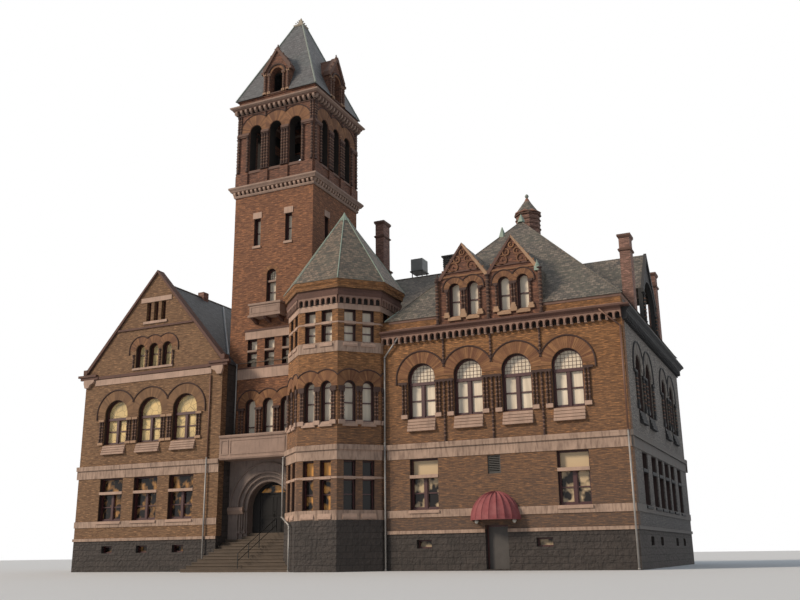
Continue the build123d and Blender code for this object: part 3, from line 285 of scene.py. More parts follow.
def glass_finish(name):
    """Pale blinds behind the upper storeys; behind the lower ones, dark rooms with lamplight painted into the
    glass colour.
    """
    made, x, y, z, upper = window_finish(name)
    # painted light: lamp glow of lit rooms in the lower panes, strongest at the heads of the front windows
    head = made.times(made.maths("GREATER_THAN", z, 4.58), made.maths("LESS_THAN", y, -8.0))
    spots = made.noise(made.face_place((1.5, 1.3, 1)), 1.2, 2.0, 0.44, 0.56)
    lamps = made.maths("MAXIMUM", made.times(spots, 0.8), made.times(head, 0.9))
    painted_glow = made.mix(made.fitted(x, 4.4, 4.6), (0.90, 0.44, 0.12), (0.66, 0.50, 0.31))
    # the lower panes on the turret face that lies in shade get none of this painted lamplight
    unlit = made.times(made.maths("GREATER_THAN", x, 2.62), made.maths("LESS_THAN", x, 4.5))
    room = made.mix(made.times(lamps, made.maths("SUBTRACT", 1.0, unlit)), (0.016, 0.013, 0.012), painted_glow)
    folds = made.noise(made.face_place((2.2, 0.25, 1)), 1.6, 2.0)
    blind = made.mix(folds, (0.90, 0.77, 0.60), (0.66, 0.56, 0.43))
    return made.done(made.mix(upper, room, blind), made.noise(made.place(), 1.2, 2.0), 0.004, 0.3)


def leaded_finish(name):
    """Old yellow glass with branching lead lines above, dark rooms with painted lamplight below."""
    made, x, y, z, upper = window_finish(name)
    cells = made.node("ShaderNodeTexVoronoi", {"Vector": made.face_place(), "Scale": 2.3},
                      feature="DISTANCE_TO_EDGE")
    branches = made.fitted(cells.outputs["Distance"], 0.0, 0.05)
    tint = made.mix(made.noise(made.place(), 1.5), (0.88, 0.64, 0.30), (0.60, 0.46, 0.24))
    window = made.mix(branches, (0.34, 0.25, 0.13), tint)
    # painted light: lamplight of lit rooms in the lower panes
    lamps = made.noise(made.face_place((1.5, 1.3, 1)), 1.2, 3.0, 0.50, 0.66)
    room = made.mix(lamps, (0.016, 0.013, 0.012), (0.42, 0.22, 0.08))
    return made.done(made.mix(upper, room, window), made.noise(made.place(), 1.2, 2.0), 0.004, 0.3)


ROCK_BLOCK = (0.62, 0.31)
RECIPES = {
    brick_finish: (
        # the last value on the golden and grey brick rows is painted shade that darkens their walls towards
        # the bottom
        ("golden_brick", (0.36, 0.165, 0.060), (0.19, 0.084, 0.033), (0.15, 0.09, 0.05), (-1.5, 10.5, 0.88)),
        ("left_brick", (0.27, 0.150, 0.075), (0.165, 0.082, 0.040), (0.15, 0.10, 0.06)),
        ("tower_brick", (0.33, 0.140, 0.063), (0.165, 0.066, 0.035), (0.12, 0.07, 0.045)),
        ("grey_brick", (0.29, 0.255, 0.22), (0.17, 0.15, 0.135), (0.15, 0.135, 0.12), (1.5, 9.0, 0.75)),
        ("red_brick", (0.25, 0.108, 0.062), (0.105, 0.046, 0.032), (0.13, 0.07, 0.045)),
        ("chimney_brick", (0.35, 0.190, 0.145), (0.20, 0.110, 0.085), (0.12, 0.08, 0.06))),
    voussoir_finish: (
        ("arch_brick", (0.33, 0.165, 0.072), (0.16, 0.066, 0.033)),
        ("left_arch_brick", (0.27, 0.150, 0.075), (0.16, 0.085, 0.045)),
        ("red_arch_brick", (0.32, 0.160, 0.075), (0.15, 0.068, 0.038)),
        ("grey_arch_brick", (0.27, 0.235, 0.20), (0.14, 0.12, 0.105))),
    stone_finish: (
        ("dark_moulding", (0.060, 0.030, 0.023), (0.024, 0.014, 0.011), 18.0, 0.004),
        ("terracotta", (0.27, 0.160, 0.120), (0.13, 0.075, 0.055), 18.0, 0.006, 0.5),
        ("brown_stone", (0.135, 0.072, 0.052), (0.07, 0.035, 0.03)),
        ("coping_stone", (0.115, 0.055, 0.040), (0.04, 0.022, 0.018)),
        ("golden_stone", (0.40, 0.245, 0.150), (0.14, 0.075, 0.04)),
        ("trim_stone", (0.34, 0.230, 0.178), (0.12, 0.080, 0.065)),
        ("pale_stone", (0.46, 0.310, 0.235), (0.14, 0.095, 0.08)),
        # a darker copy of the trim stone: painted shade under the balcony
        ("porch_stone", (0.23, 0.175, 0.150), (0.08, 0.06, 0.05), 10.0, 0.008, 0.55),
        # the return wall's stone darkened to near black: painted shadow
        ("return_stone", (0.060, 0.050, 0.046), (0.04, 0.033, 0.032), 6.0, 0.02, 0.5, ROCK_BLOCK),
        ("grey_stone", (0.034, 0.033, 0.034), (0.035, 0.032, 0.030)),
        # dark rock, darkened further: painted shade low on the building
        ("rock_stone", (0.052, 0.041, 0.036), (0.035, 0.030, 0.028), 6.0, 0.05, 0.6, ROCK_BLOCK),
        ("step_stone", (0.100, 0.072, 0.050), (0.06, 0.045, 0.035)),
        ("terracotta_tile", (0.26, 0.125, 0.085), (0.09, 0.05, 0.04)),
        ("crest_stone", (0.42, 0.36, 0.28), (0.16, 0.13, 0.10)),
        ("bead_stone", (0.24, 0.135, 0.090), (0.08, 0.05, 0.035))),
    two_sided_stone: (
        ("band_stone", (0.42, 0.290, 0.218), (0.11, 0.066, 0.048), (0.13, 0.12, 0.11), 0.75),),
    slate_finish: (
        ("roof_slate", (0.215, 0.170, 0.135), (0.060, 0.053, 0.047), (0.085, 0.085, 0.060), 0.17, 0.24),
        ("left_slate", (0.062, 0.070, 0.084), (0.016, 0.019, 0.025), (0.036, 0.041, 0.046), 0.20, 0.26),
        ("turret_slate", (0.235, 0.165, 0.115), (0.060, 0.052, 0.040), (0.110, 0.105, 0.075), 0.18, 0.22),
        ("tower_slate", (0.115, 0.110, 0.115), (0.072, 0.068, 0.073), (0.090, 0.110, 0.112), 0.25, 0.30)),
    painted_finish: (
        # nearly black sheets set in recesses and openings: painted shade
        ("sooty_recess", (0.014, 0.010, 0.008), 0.9),
        # nearly black window reveals: partly frame wood, partly painted shade
        ("reveal_paint", (0.026, 0.011, 0.010), 0.6),
        ("valley_lead", (0.34, 0.36, 0.37), 0.6, 0.1),
        ("maroon_paint", (0.062, 0.016, 0.016), 0.4),
        ("glazing_bar_paint", (0.16, 0.095, 0.070), 0.5),
        ("door_paint", (0.006, 0.005, 0.005), 0.85),
        ("cellar_paint", (0.055, 0.047, 0.042), 0.5),
        ("sheet_metal", (0.22, 0.225, 0.22), 0.55, 0.2),
        ("dark_metal", (0.060, 0.055, 0.050), 0.55, 0.2),
        ("hip_lead", (0.20, 0.225, 0.195), 0.55, 0.2),
        ("pipe_paint", (0.36, 0.34, 0.32), 0.5, 0.2),
        ("brown_pipe", (0.17, 0.085, 0.055), 0.5, 0.1),
        ("black_iron", (0.03, 0.03, 0.03), 0.45, 0.5),
        ("green_copper", (0.26, 0.33, 0.27), 0.6, 0.1, (0.16, 0.20, 0.16)),
        ("awning_cloth", (0.23, 0.055, 0.060), 0.85, 0.0, (0.33, 0.12, 0.12)),
        ("floor_boards", (0.055, 0.038, 0.027), 0.7),
        ("lamp_glass", (0.60, 0.58, 0.52), 0.3)),
    glass_finish: (("glass_panes",),),
    leaded_finish: (("leaded_glass",),),
}
FINISHES = {row[0]: recipe(*row) for recipe, rows in RECIPES.items() for row in rows}

# Finishes of the solids; window frames and glass go by their names, and the rest is golden brick
SOLIDS = {
    "red_brick": ("belfry_arches", "belfry_pedestals", "belfry_piers", "chimneys", "tower_dormers",
                  "twin_dormer_front", "tower_lower_cornice", "tower_upper_cornice"),
    "left_brick": ("left_front_wall", "left_side_wall", "left_back_wall", "middle_back_wall"),
    "tower_brick": ("tower_walls",),
    "grey_brick": ("right_side_wall", "right_back_wall"),
    "rock_stone": ("basement_walls", "turret_base_walls"),
    "return_stone": ("return_walls",),
    "trim_stone": ("balcony",),
    "band_stone": ("turret_bands", "wing_stone_bands"),
    "terracotta": ("turret_cornice", "wing_cornices"),
    "porch_stone": ("porch_arch", "porch_jambs", "tower_front_arch", "tower_lower_walls"),
    "step_stone": ("entrance_steps", "porch_landing"),
    "grey_stone": ("side_gable_arch",),
    "crest_stone": ("tower_finial",),
    "roof_slate": ("dormer_roofs", "middle_roof", "right_roof"),
    "left_slate": ("left_roof",),
    "turret_slate": ("turret_roof",),
    "tower_slate": ("tower_roof",),
    "sheet_metal": ("roof_units",),
    "dark_metal": ("cellar_vent_louvre",),
    "black_iron": ("entrance_handrail",),
    "door_paint": ("entrance_door_frame", "entrance_door_left", "entrance_door_right"),
    "cellar_paint": ("cellar_door",),
    "maroon_paint": ("cellar_door_frame",),
    "awning_cloth": ("door_awning",),
    "floor_boards": ("floors",),
}


def dress_nodes():
    chosen = {node: finish for finish, nodes in SOLIDS.items() for node in nodes}
    for name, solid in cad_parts.items():
        finish = chosen.get(name, "golden_brick")
        if "glass" in name:
            finish = "leaded_glass" if name.startswith("left") else "glass_panes"
        elif "window_frames" in name:
            finish = "maroon_paint"
        if not solid.material_slots:
            solid.data.materials.append(FINISHES[finish])
        for place in solid.material_slots:
            place.material = FINISHES[finish]


def clipped(outline, limit, way):
    """The part of an outline that lies before an upright line, seen in the given direction."""
    kept = []
    for number, (s, z) in enumerate(outline):
        before_s, before_z = outline[number - 1]
        inside = way * (limit - s) >= 0
        if inside != (way * (limit - before_s) >= 0):
            share = (limit - before_s) / (s - before_s)
            kept.append((limit, before_z + (z - before_z) * share))
        if inside:
            kept.append((s, z))
    return kept


def circle(x, y, radius, steps, start=0.0):
    """Points round a centre, beginning at an angle in degrees."""
    angles = [math.radians(start) + 2 * math.pi * step / steps for step in range(steps)]
    return [(x + radius * math.cos(angle), y + radius * math.sin(angle)) for angle in angles]


def octagon(x, y, radius):
    return circle(x, y, radius, 8, -112.5)


def square(half):
    """Corners of a square plan round the axis of the tower."""
    return [(TOWER_X + x * half, TOWER_Y + y * half) for x, y in ((-1, -1), (1, -1), (1, 1), (-1, 1))]


def both(s, *offsets):
    """Places at the same distances on either side of s."""
    return [s + way * offset for offset in offsets for way in (-1, 1)]


def trio(middle, pitch):
    """Centres of three windows."""
    return [middle - pitch, middle, middle + pitch]


def flank(s, way, near, far):
    """Ends of a stretch between two distances from s, on one side of it."""
    return sorted((s + way * near, s + way * far))


def slope(middle, way, reach, thick, low, under, top, over):
    """Outline of a coping that rises from the foot of a gable to its apex."""
    foot = middle + way * reach
    return [(foot, low), (foot - way * thick, low), (middle, under), (middle, top), (foot, over)]


PIECES = []


class Piece:
    """Many small solids gathered in one mesh that rides on a body."""

    def __init__(self, name, finish, slot, replaced=None, body="building", smooth=False):
        self.name, self.finish, self.slot = name, finish, slot
        self.replaced, self.body, self.smooth = replaced, body, smooth
        self.verts = []
        self.faces = []
        PIECES.append(self)

    def lofted(self, rings, closed=False):
        """Skin over rings of equal length, closed on itself or capped at both ends."""
        count = len(rings[0])
        base = len(self.verts)
        for ring in rings:
            self.verts.extend(ring)
        for span in range(len(rings) if closed else len(rings) - 1):
            one = base + span * count
            two = base + (span + 1) % len(rings) * count
            for step in range(count):
                after = (step + 1) % count
                self.faces.append((one + step, one + after, two + after, two + step))
        if not closed:
            last = base + (len(rings) - 1) * count
            self.faces.append(tuple(base + step for step in reversed(range(count))))
            self.faces.append(tuple(last + step for step in range(count)))

    def prism(self, side, outline, d0, d1):
        """Outline of (s, z) points made solid between two depths."""
        self.lofted([[side.at(s, d, z) for s, z in outline] for d in (d0, d1)])

    def block(self, side, s0, s1, z0, z1, d0, d1=0.0):
        self.prism(side, [(s0, z0), (s1, z0), (s1, z1), (s0, z1)], d0, d1)

    def pads(self, side, places, half, z0, z1, d0, d1=0.0):
        """Like blocks centred on places along a wall."""
        for s in places:
            self.block(side, s - half, s + half, z0, z1, d0, d1)

    def border(self, side, s0, s1, z0, z1, wide, d0, d1=0.0):
        """Flat frame round a panel."""
        for edge in ((s0, s1, z0, z0 + wide), (s0, s1, z1 - wide, z1),
                     (s0, s0 + wide, z0 + wide, z1 - wide), (s1 - wide, s1, z0 + wide, z1 - wide)):
            self.block(side, *edge, d0, d1)

    def run(self, side, s0, s1, section):
        """Moulding of (d, z) points along a wall."""
        self.lofted([[side.at(s, d, z) for d, z in section] for s in (s0, s1)])

    def span(self, side, s, half, section):
        self.run(side, s - half, s + half, section)

    def arc(self, side, s, z, section, start=0, end=180, steps=20):
        """Moulding of (radius, d) points bent round a centre on the wall."""
        rings = []
        for step in range(steps + 1):
            angle = math.radians(start + (end - start) * step / steps)
            rings.append([side.at(s + r * math.cos(angle), d, z + r * math.sin(angle)) for r, d in section])
        self.lofted(rings)

    def ring_blocks(self, side, s, z, r0, r1, d0, d1, count, limits=(None, None)):
        """Wedge blocks round an arch, parted by joints and cut off at the limits."""
        low, high = BRICK_JOINT / 2 / r0, BRICK_JOINT / 2 / r1
        for number in range(count):
            a0, a1 = (math.radians(180 * end / count) for end in (number, number + 1))
            deep = d0 + random.uniform(-0.006, 0.006)
            outline = [(r0, a0 + low), (r1, a0 + high), (r1, a1 - high), (r0, a1 - low)]
            shape = [(s + r * math.cos(a), z + r * math.sin(a)) for r, a in outline]
            for limit, way in zip(limits, (-1, 1)):
                if limit is not None:
                    shape = clipped(shape, limit, way)
            if len(shape) > 2:
                self.prism(side, shape, deep, d1)

    def turned(self, side, s, d, profile, steps=12):
        """Round shaft, profile of (radius, z) points from the bottom up."""
        self.lofted([[side.at(a, b, z) for a, b in circle(s, d, radius, steps)] for radius, z in profile])

    def loop(self, path, section, closed=False):
        """Moulding of (out, z) points along a plan path with mitred corners."""
        count = len(path)
        rings = []
        for number in range(count):
            here = Vector(path[number])
            ways = []
            if closed or number > 0:
                ways.append((here - Vector(path[number - 1])).normalized())
            if closed or number < count - 1:
                ways.append((Vector(path[(number + 1) % count]) - here).normalized())
            outs = [Vector((way.y, -way.x)) for way in ways]
            mitre = outs[0] if len(outs) == 1 else (outs[0] + outs[1]) / (1 + outs[0].dot(outs[1]))
            rings.append([(here.x + mitre.x * out, here.y + mitre.y * out, z) for out, z in section])
        self.lofted(rings, closed)

    def rods(self, points, radius, steps=6):
        """Straight round bars from point to point."""
        for low, high in zip(points, points[1:]):
            low, high = Vector(low), Vector(high)
            along = (high - low).normalized()
            across = along.orthogonal().normalized()
            other = along.cross(across)
            self.lofted([[tuple(end + across * a + other * b) for a, b in circle(0, 0, radius, steps)]
                         for end in (low, high)])

    def make(self):
        mesh = bpy.data.meshes.new(self.name)
        mesh.from_pydata(self.verts, [], self.faces)
        work = bmesh.new()
        work.from_mesh(mesh)
        bmesh.ops.recalc_face_normals(work, faces=work.faces)
        work.to_mesh(mesh)
        work.free()
        solid = placed(self.name, mesh)
        mesh.materials.append(FINISHES[self.finish])
        if self.smooth:
            mesh.shade_smooth()
        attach(solid, self.body)
        if self.replaced:
            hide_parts(self.replaced)
        return solid


class Kit:
    """The trims of one kind of wall."""

    def __init__(self, name, bricks, stone, mould="dark_moulding"):
        self.hoods = Piece(name + "_hoods", mould, "red_brick")
        self.bricks = Piece(name + "_arch_bricks", bricks, "golden_brick")
        self.sills = Piece(name + "_sills", stone, "trim_stone")
        self.shafts = Piece(name + "_shafts", mould, "red_brick")
        self.blocks = Piece(name + "_blocks", stone, "trim_stone")

    def hood(self, side, s, z, radius, start=0, end=180, size=1.0):
        self.hoods.arc(side, s, z, [(radius + r * size, d * size) for r, d in HOOD], start, end)

    def row(self, side, places, z, inner, radius, stilt=0.28, size=0.7, count=34, ends=(None, None),
            proud=0.02):
        """Arches in a row: bricks and hoods stop where neighbours meet, and the outer feet run down."""
        for number, s in enumerate(places):
            edges = list(ends)
            for which, other in enumerate((number - 1, number + 1)):
                if 0 <= other < len(places):
                    near = abs(s - places[other]) < 2 * radius + 0.1
                    edges[which] = (s + places[other]) / 2 if near else None
            self.bricks.ring_blocks(side, s, z, inner, radius, -proud, 0.06, count, edges)
            angles = [0.0, 180.0]
            for which, way in ((1, 1), (0, -1)):
                reach = radius if edges[which] is None else way * (edges[which] - s)
                if reach < radius:
                    lean = math.degrees(math.acos(reach / radius))
                    angles[1 - which] = lean if way > 0 else 180.0 - lean
                else:
                    self.hoods.lofted([[side.at(s + way * (radius + r * size), d * size, level)
                                        for r, d in HOOD] for level in (z - stilt, z)])
            self.hood(side, s, z, radius, *angles, size)

    def stepped_sill(self, side, s, width, top, bottom, ledges=4):
        """Sill of ledges that step out as they go down, with a dark groove over each."""
        high, proud = (top - bottom) / ledges, 0.045
        for number in range(ledges):
            z1 = top - high * number
            out = proud * (number + 1)
            self.sills.span(side, s, width / 2, [(0.0, z1 - high), (-out, z1 - high), (-out, z1 - 0.045),
                                                 (-out + 0.03, z1 - 0.025), (0.0, z1 - 0.025)])

    def sill(self, side, s, half, low, edge, back, high, lip=0.0):
        """Plain sill with a weathered top that runs in under the glass."""
        self.sills.span(side, s, half, [(0.0, low), (-0.10, low), (-0.10, edge), (lip, back), (0.23, high),
                                        (0.23, low)])


front_kit = Kit("front", "arch_brick", "pale_stone")
turret_kit = Kit("turret", "arch_brick", "pale_stone")
grey_kit = Kit("side", "grey_arch_brick", "grey_stone", "grey_stone")
tower_kit = Kit("tower", "arch_brick", "trim_stone")
belfry_kit = Kit("belfry", "red_arch_brick", "brown_stone")
left_kit = Kit("left", "left_arch_brick", "pale_stone")
gable_kit = Kit("gable", "red_arch_brick", "pale_stone")
dormer_kit = Kit("dormer", "red_arch_brick", "golden_stone")
sash_bars = Piece("sash_bars", "maroon_paint", "frame_paint")
beads = Piece("shaft_beads", "bead_stone", "trim_stone")
reveals = Piece("window_reveals", "reveal_paint", "frame_paint")
fan_bars = Piece("fan_bars", "glazing_bar_paint", "frame_paint")


def shafts(piece, side, places, d, z0, z1, radius):
    """Slender shafts with a ring every so often and a string of beads."""
    profile = [(radius * 1.5, z0), (radius * 1.5, z0 + 0.05), (radius, z0 + 0.08)]
    rings = int((z1 - z0) / 0.42)
    for number in range(1, rings):
        z = z0 + (z1 - z0) * number / rings
        profile += [(radius * grow, z + rise) for grow, rise in SHAFT_RING]
    profile += [(radius, z1 - 0.1), (radius * 1.7, z1 - 0.04), (radius * 1.7, z1)]
    inner = z1 - z0 - 0.2
    count = int(inner / BEAD_PITCH)
    for s in places:
        piece.turned(side, s, d, profile, 8)
        for number in range(1, count + 1):
            z = z0 + 0.1 + inner * number / (count + 1)
            beads.turned(side, s, d, [(radius * grow, z + rise) for grow, rise in BEAD], 6)


def reveal(side, s, half, low, high, arched=False, piece=reveals, near=0.05, far=0.30, thick=0.02):
    """Dark strips on the jambs of an opening and under its head: partly the frames' dark wood, partly painted
    shade in the reveal.
    """
    piece.pads(side, both(s, half - thick / 2), thick / 2, low, high, near, far)
    if arched:
        inner = half - thick
        piece.arc(side, s, high, [(half, near), (half, far), (inner, far), (inner, near)], steps=16)
    else:
        piece.pads(side, [s], half, high - thick, high, near, far)


def fanlight(side, s, z, radius, bottom, pitch=0.19):
    """Small square panes in an arched head."""
    half_bar, margin = 0.007, 0.06
    count = int(radius / pitch)
    for number in range(-count, count + 1):
        offset = number * pitch
        if abs(offset) < radius - margin:
            top = z + math.sqrt(radius * radius - offset * offset)
            fan_bars.pads(side, [s + offset], half_bar, bottom, top, 0.33, GLAZING)
    level = bottom + pitch
    while level < z + radius - margin:
        drop = max(level - z, 0.0)
        half = math.sqrt(radius * radius - drop * drop)
        fan_bars.pads(side, [s], half, level - half_bar, level + half_bar, 0.328, 0.35)
        level += pitch


def cross_bar(side, s, half, z, high=0.06, depth=0.28):
    """Meeting rail or transom across a window."""
    sash_bars.pads(side, [s], half, z - high / 2, z + high / 2, depth, GLAZING)


def sash(side, s, half, low, high):
    """Outer frame of one sash."""
    wide = 0.05
    sash_bars.pads(side, both(s, half - wide / 2), wide / 2, low, high, BAR_FRONT, GLAZING)
    for z in (low, high - wide):
        sash_bars.pads(side, [s], half - wide, z, z + wide, BAR_FRONT, GLAZING)


def leaves(side, s, inner, low, high, wide, rail=0.0):
    """Stiles of the two leaves of a window, with bottom rails where they have them."""
    post = 0.07
    for middle in both(s, (inner + post) / 2):
        stiles = both(middle, (inner - post - wide) / 2)
        sash_bars.pads(side, stiles, wide / 2, low, high, BAR_FRONT, GLAZING)
        if rail:
            sash_bars.pads(side, [middle], (inner - post) / 2, low, low + rail, BAR_FRONT, GLAZING)


def arched_window(side, s, width, centre=ARCH_CENTRE, panes=True):
    half = width / 2
    inner = half - 0.05
    transom = centre - TRANSOM_DROP
    reveal(side, s, half, ARCH_BOTTOM, centre, True)
    if panes:
        fanlight(side, s, centre, half - 0.07, transom)
    cross_bar(side, s, inner, (ARCH_BOTTOM + transom) / 2, 0.07, 0.29)
    cross_bar(side, s, inner, transom - 0.06, 0.16, 0.20)
    leaves(side, s, inner, ARCH_BOTTOM + 0.05, transom - 0.1, 0.055, 0.10)


def rect_window(kit, side, s, width):
    half = width / 2
    inner = half - 0.05
    reveal(side, s, half, RECT_BOTTOM + 0.02, RECT_TOP)
    kit.blocks.pads(side, [s], half, RECT_TRANSOM - 0.09, RECT_TRANSOM + 0.07, -0.03, 0.3)
    cross_bar(side, s, inner, (RECT_BOTTOM + RECT_TRANSOM) / 2)
    cross_bar(side, s, inner, RECT_BOTTOM + 0.10, 0.10)
    leaves(side, s, inner, RECT_BOTTOM + 0.05, RECT_TRANSOM - 0.1, 0.05)
    kit.sill(side, s, half + 0.06, 2.74, 2.84, 2.90, 2.91, -0.02)


def wing_windows():
    """Arches, shafts, sills and bars of the wings' windows."""
    cap, base, jamb = 9.24, 7.67, 0.77
    for side, places, kit, reach in ((right_front, FRONT_ARCHES, front_kit, 1.277),
                                     (right_side, SIDE_ARCHES, grey_kit, 1.39),
                                     (right_back, FRONT_ARCHES, grey_kit, 1.39)):
        kit.row(side, places, ARCH_CENTRE, 0.762, 1.35)
        for s in places:
            arched_window(side, s, 1.52)
            kit.stepped_sill(side, s, 1.52, ARCH_BOTTOM, 6.81)
            kit.blocks.pads(side, both(s, 0.94), 0.17, 7.47, base, -0.11)
            shafts(kit.shafts, side, both(s, 0.86, 1.03), -0.06, base, cap, 0.045)
            kit.hoods.pads(side, both(s, (reach + jamb) / 2), (reach - jamb) / 2, cap, 9.36, -0.10)
    between = [(near + far) / 2 for near, far in zip(FRONT_ARCHES, FRONT_ARCHES[1:])]
    shafts(front_kit.shafts, right_front, between, -0.05, BELT_TOP, cap, 0.05)
    shafts(front_kit.shafts, right_front, between, -0.05, 10.16, CORNICE_BOTTOM, 0.05)
    caps = Piece("left_capitals", "golden_stone", "trim_stone")
    for side, places, width, centre in ((left_front, LEFT_ARCHES, 1.75, LEFT_ARCH_CENTRE),
                                        (left_back, LEFT_ARCHES, 1.75, LEFT_ARCH_CENTRE),
                                        (left_side, LEFT_SIDE_ARCHES, 1.52, ARCH_CENTRE),
                                        (middle_back, MIDDLE_ARCHES, 1.52, ARCH_CENTRE)):
        cap = centre - 0.42
        half = width / 2
        gable = centre == LEFT_ARCH_CENTRE
        left_kit.row(side, places, centre, half + 0.002, 1.45 if gable else 1.28)
        for s in places:
            arched_window(side, s, width, centre, not gable)
            left_kit.stepped_sill(side, s, width, 7.42, 6.86)
            for low, high in ((cap, cap + 0.14), (7.45, 7.60)):
                caps.pads(side, both(s, half + 0.20), 0.2, low, high, -0.10)
            shafts(left_kit.shafts, side, both(s, half + 0.09, half + 0.28), -0.05, 7.60, cap, 0.045)
    for side, places, width, kit in ((right_front, [1.95, 9.56], 1.54, front_kit),
                                     (right_side, SIDE_RECTS, 1.40, grey_kit),
                                     (right_back, FRONT_ARCHES, 1.54, grey_kit),
                                     (left_front, LEFT_ARCHES, 1.75, front_kit),
                                     (left_back, LEFT_ARCHES, 1.75, front_kit),
                                     (left_side, LEFT_SIDE_ARCHES, 1.54, front_kit),
                                     (middle_back, MIDDLE_ARCHES, 1.54, front_kit)):
        for s in places:
            rect_window(kit, side, s, width)


def corbel_outline(start, pitch, low, spring, top):
    """Wall piece with one small round-headed recess cut up into it."""
    middle = start + pitch / 2
    radius = pitch * 0.36
    outline = [(start, low), (middle - radius, low), (middle - radius, spring)]
    for step in range(1, 6):
        angle = math.pi - math.pi * step / 6
        outline.append((middle + radius * math.cos(angle), spring + radius * math.sin(angle)))
    return outline + [(middle + radius, spring), (middle + radius, low), (start + pitch, low),
                      (start + pitch, top), (start, top)]


def wing_eaves():
    """Corbel arcade, gutter and frieze of the wings."""
    table = Piece("wing_corbels", "terracotta", "red_brick", "wing_cornices")
    grey_table = Piece("side_corbels", "grey_stone", "trim_stone", "wing_cornices")
    # a dark sheet at the back of the corbel recesses: painted shade
    recess = Piece("corbel_recesses", "sooty_recess", "red_brick")
    feet = Piece("corbel_feet", "trim_stone", "trim_stone")
    gutter = Piece("wing_gutters", "coping_stone", "metal_lead", "wing_cornices")
    grey_gutter = Piece("side_gutters", "grey_stone", "metal_lead", "wing_cornices")
    frieze = Piece("eaves_frieze", "terracotta", "golden_brick")
    for side, s0, s1, piece, foot in ((right_front, TURRET_RIGHT - RIGHT_X0 + 0.05, 12.35, table, feet),
                                      (right_side, 0.0, 16.83, grey_table, grey_table),
                                      (right_back, 0.0, 12.35, grey_table, grey_table),
                                      (middle_back, 0.0, 11.1, table, feet),
                                      (left_side, 0.0, 15.35, table, feet)):
        count = int((s1 - s0) / 0.34)
        pitch = (s1 - s0) / count
        for number in range(count):
            start = s0 + pitch * number
            piece.prism(side, corbel_outline(start, pitch, CORBEL_FOOT, 11.66, GUTTER_BOTTOM), -0.24, 0.0)
            foot.pads(side, [start], 0.06, CORNICE_BOTTOM, CORBEL_FOOT, -0.20)
        recess.block(side, s0, s1, CORBEL_FOOT, GUTTER_BOTTOM, -0.012)
    lip, out = GUTTER_BOTTOM + 0.18, 0.43
    section = [(0.0, GUTTER_BOTTOM), (0.26, GUTTER_BOTTOM), (0.28, GUTTER_BOTTOM + 0.07),
               (0.38, GUTTER_BOTTOM + 0.14), (out, lip), (out, GUTTER_TOP), (0.0, GUTTER_TOP)]
    corner, behind = (RIGHT_X1, RIGHT_Y0), [(RIGHT_X1, RIGHT_Y1), (RIGHT_X0, RIGHT_Y1)]
    gutter.loop([(TURRET_RIGHT + 0.02, RIGHT_Y0), corner], section)
    grey_gutter.loop([(RIGHT_X1, RIGHT_Y0 + 0.001), *behind], section)
    gutter.block(LEVEL, RIGHT_X1, RIGHT_X1 + out, lip, GUTTER_TOP, RIGHT_Y0 - out, RIGHT_Y0)
    short = [(0.0, 11.60), (0.27, 11.60), (0.30, 11.66), (0.41, 11.74), (0.41, 11.78), (0.0, 11.78)]
    gutter.loop([(RIGHT_X0, LEFT_Y1), (LEFT_X1, LEFT_Y1)], short)
    gutter.loop([(LEFT_X0, LEFT_Y1), (LEFT_X0, LEFT_Y0)], short)
    for profile in ([(0.0, 12.56), (0.03, 12.58), (0.06, 12.66), (0.06, 12.70), (0.0, 12.70)],
                    [(0.0, 12.12), (0.05, 12.12), (0.05, 12.22), (0.02, 12.26), (0.0, 12.26)]):
        frieze.loop([(TURRET_RIGHT + 0.4, RIGHT_Y0), (RIGHT_X0 + 3.0, RIGHT_Y0)], profile)
        frieze.loop([(RIGHT_X0 + 8.43, RIGHT_Y0), corner, *behind], profile)


def left_gable():
    """Coping, kneelers, string courses and attic windows of the left gable walls."""
    coping = Piece("gable_copings", "coping_stone", "red_brick")
    bands = Piece("gable_bands", "pale_stone", "trim_stone")
    middle, pitch, spring, foot = 5.215, 1.02, 13.18, 12.05
    kneeler = ((0.0, 11.11), (0.30, 11.11), (0.42, 11.30), (0.72, 11.46), (0.72, 11.61), (-0.10, 11.61),
               (-0.10, 11.40))
    for side in (left_front, left_back):
        for way in (-1, 1):
            coping.prism(side, slope(middle, way, 5.40, 0.12, 11.82, 18.06, 18.22, 11.98), -0.12, 0.5)
            coping.block(side, *flank(middle, way, 5.10, 5.40), 11.98, 12.27, -0.14, 0.3)
            edge = middle + way * middle
            bands.prism(side, [(edge - way * s, z) for s, z in kneeler], -0.16, 0.0)
            coping.block(side, *flank(edge, way, -1.0, 0.40), 11.61, 11.78, -0.13)
            coping.block(side, *flank(edge, way, -0.9, 0.55), 11.78, 11.92, -0.20)
        for piece, row in ((bands, (0.78, 9.65, 11.20, 11.56, -0.05)),
                           (coping, (1.0, 9.43, 11.60, 11.78, -0.08)),
                           (coping, (2.30, 8.13, 14.50, 14.62, -0.08)),
                           (bands, (4.03, 6.40, 16.18, 16.48, -0.04)),
                           (bands, (4.30, 6.13, 14.78, 14.94, -0.07, 0.05)),
                           (bands, (3.68, 6.75, 11.92, 12.05, -0.07, 0.05))):
            piece.block(side, *row)
        windows = trio(middle, pitch)
        gable_kit.row(side, windows, spring, 0.352, 0.82, 0.26, 0.6, 22)
        shafts(gable_kit.shafts, side, both(middle, 0.51), -0.03, foot, 13.10, 0.05)
        shafts(gable_kit.shafts, side, both(middle, 1.52), -0.03, foot, 12.90, 0.05)
        for s in windows:
            reveal(side, s, 0.35, 12.07, spring, True)
            cross_bar(side, s, 0.33, 12.88)


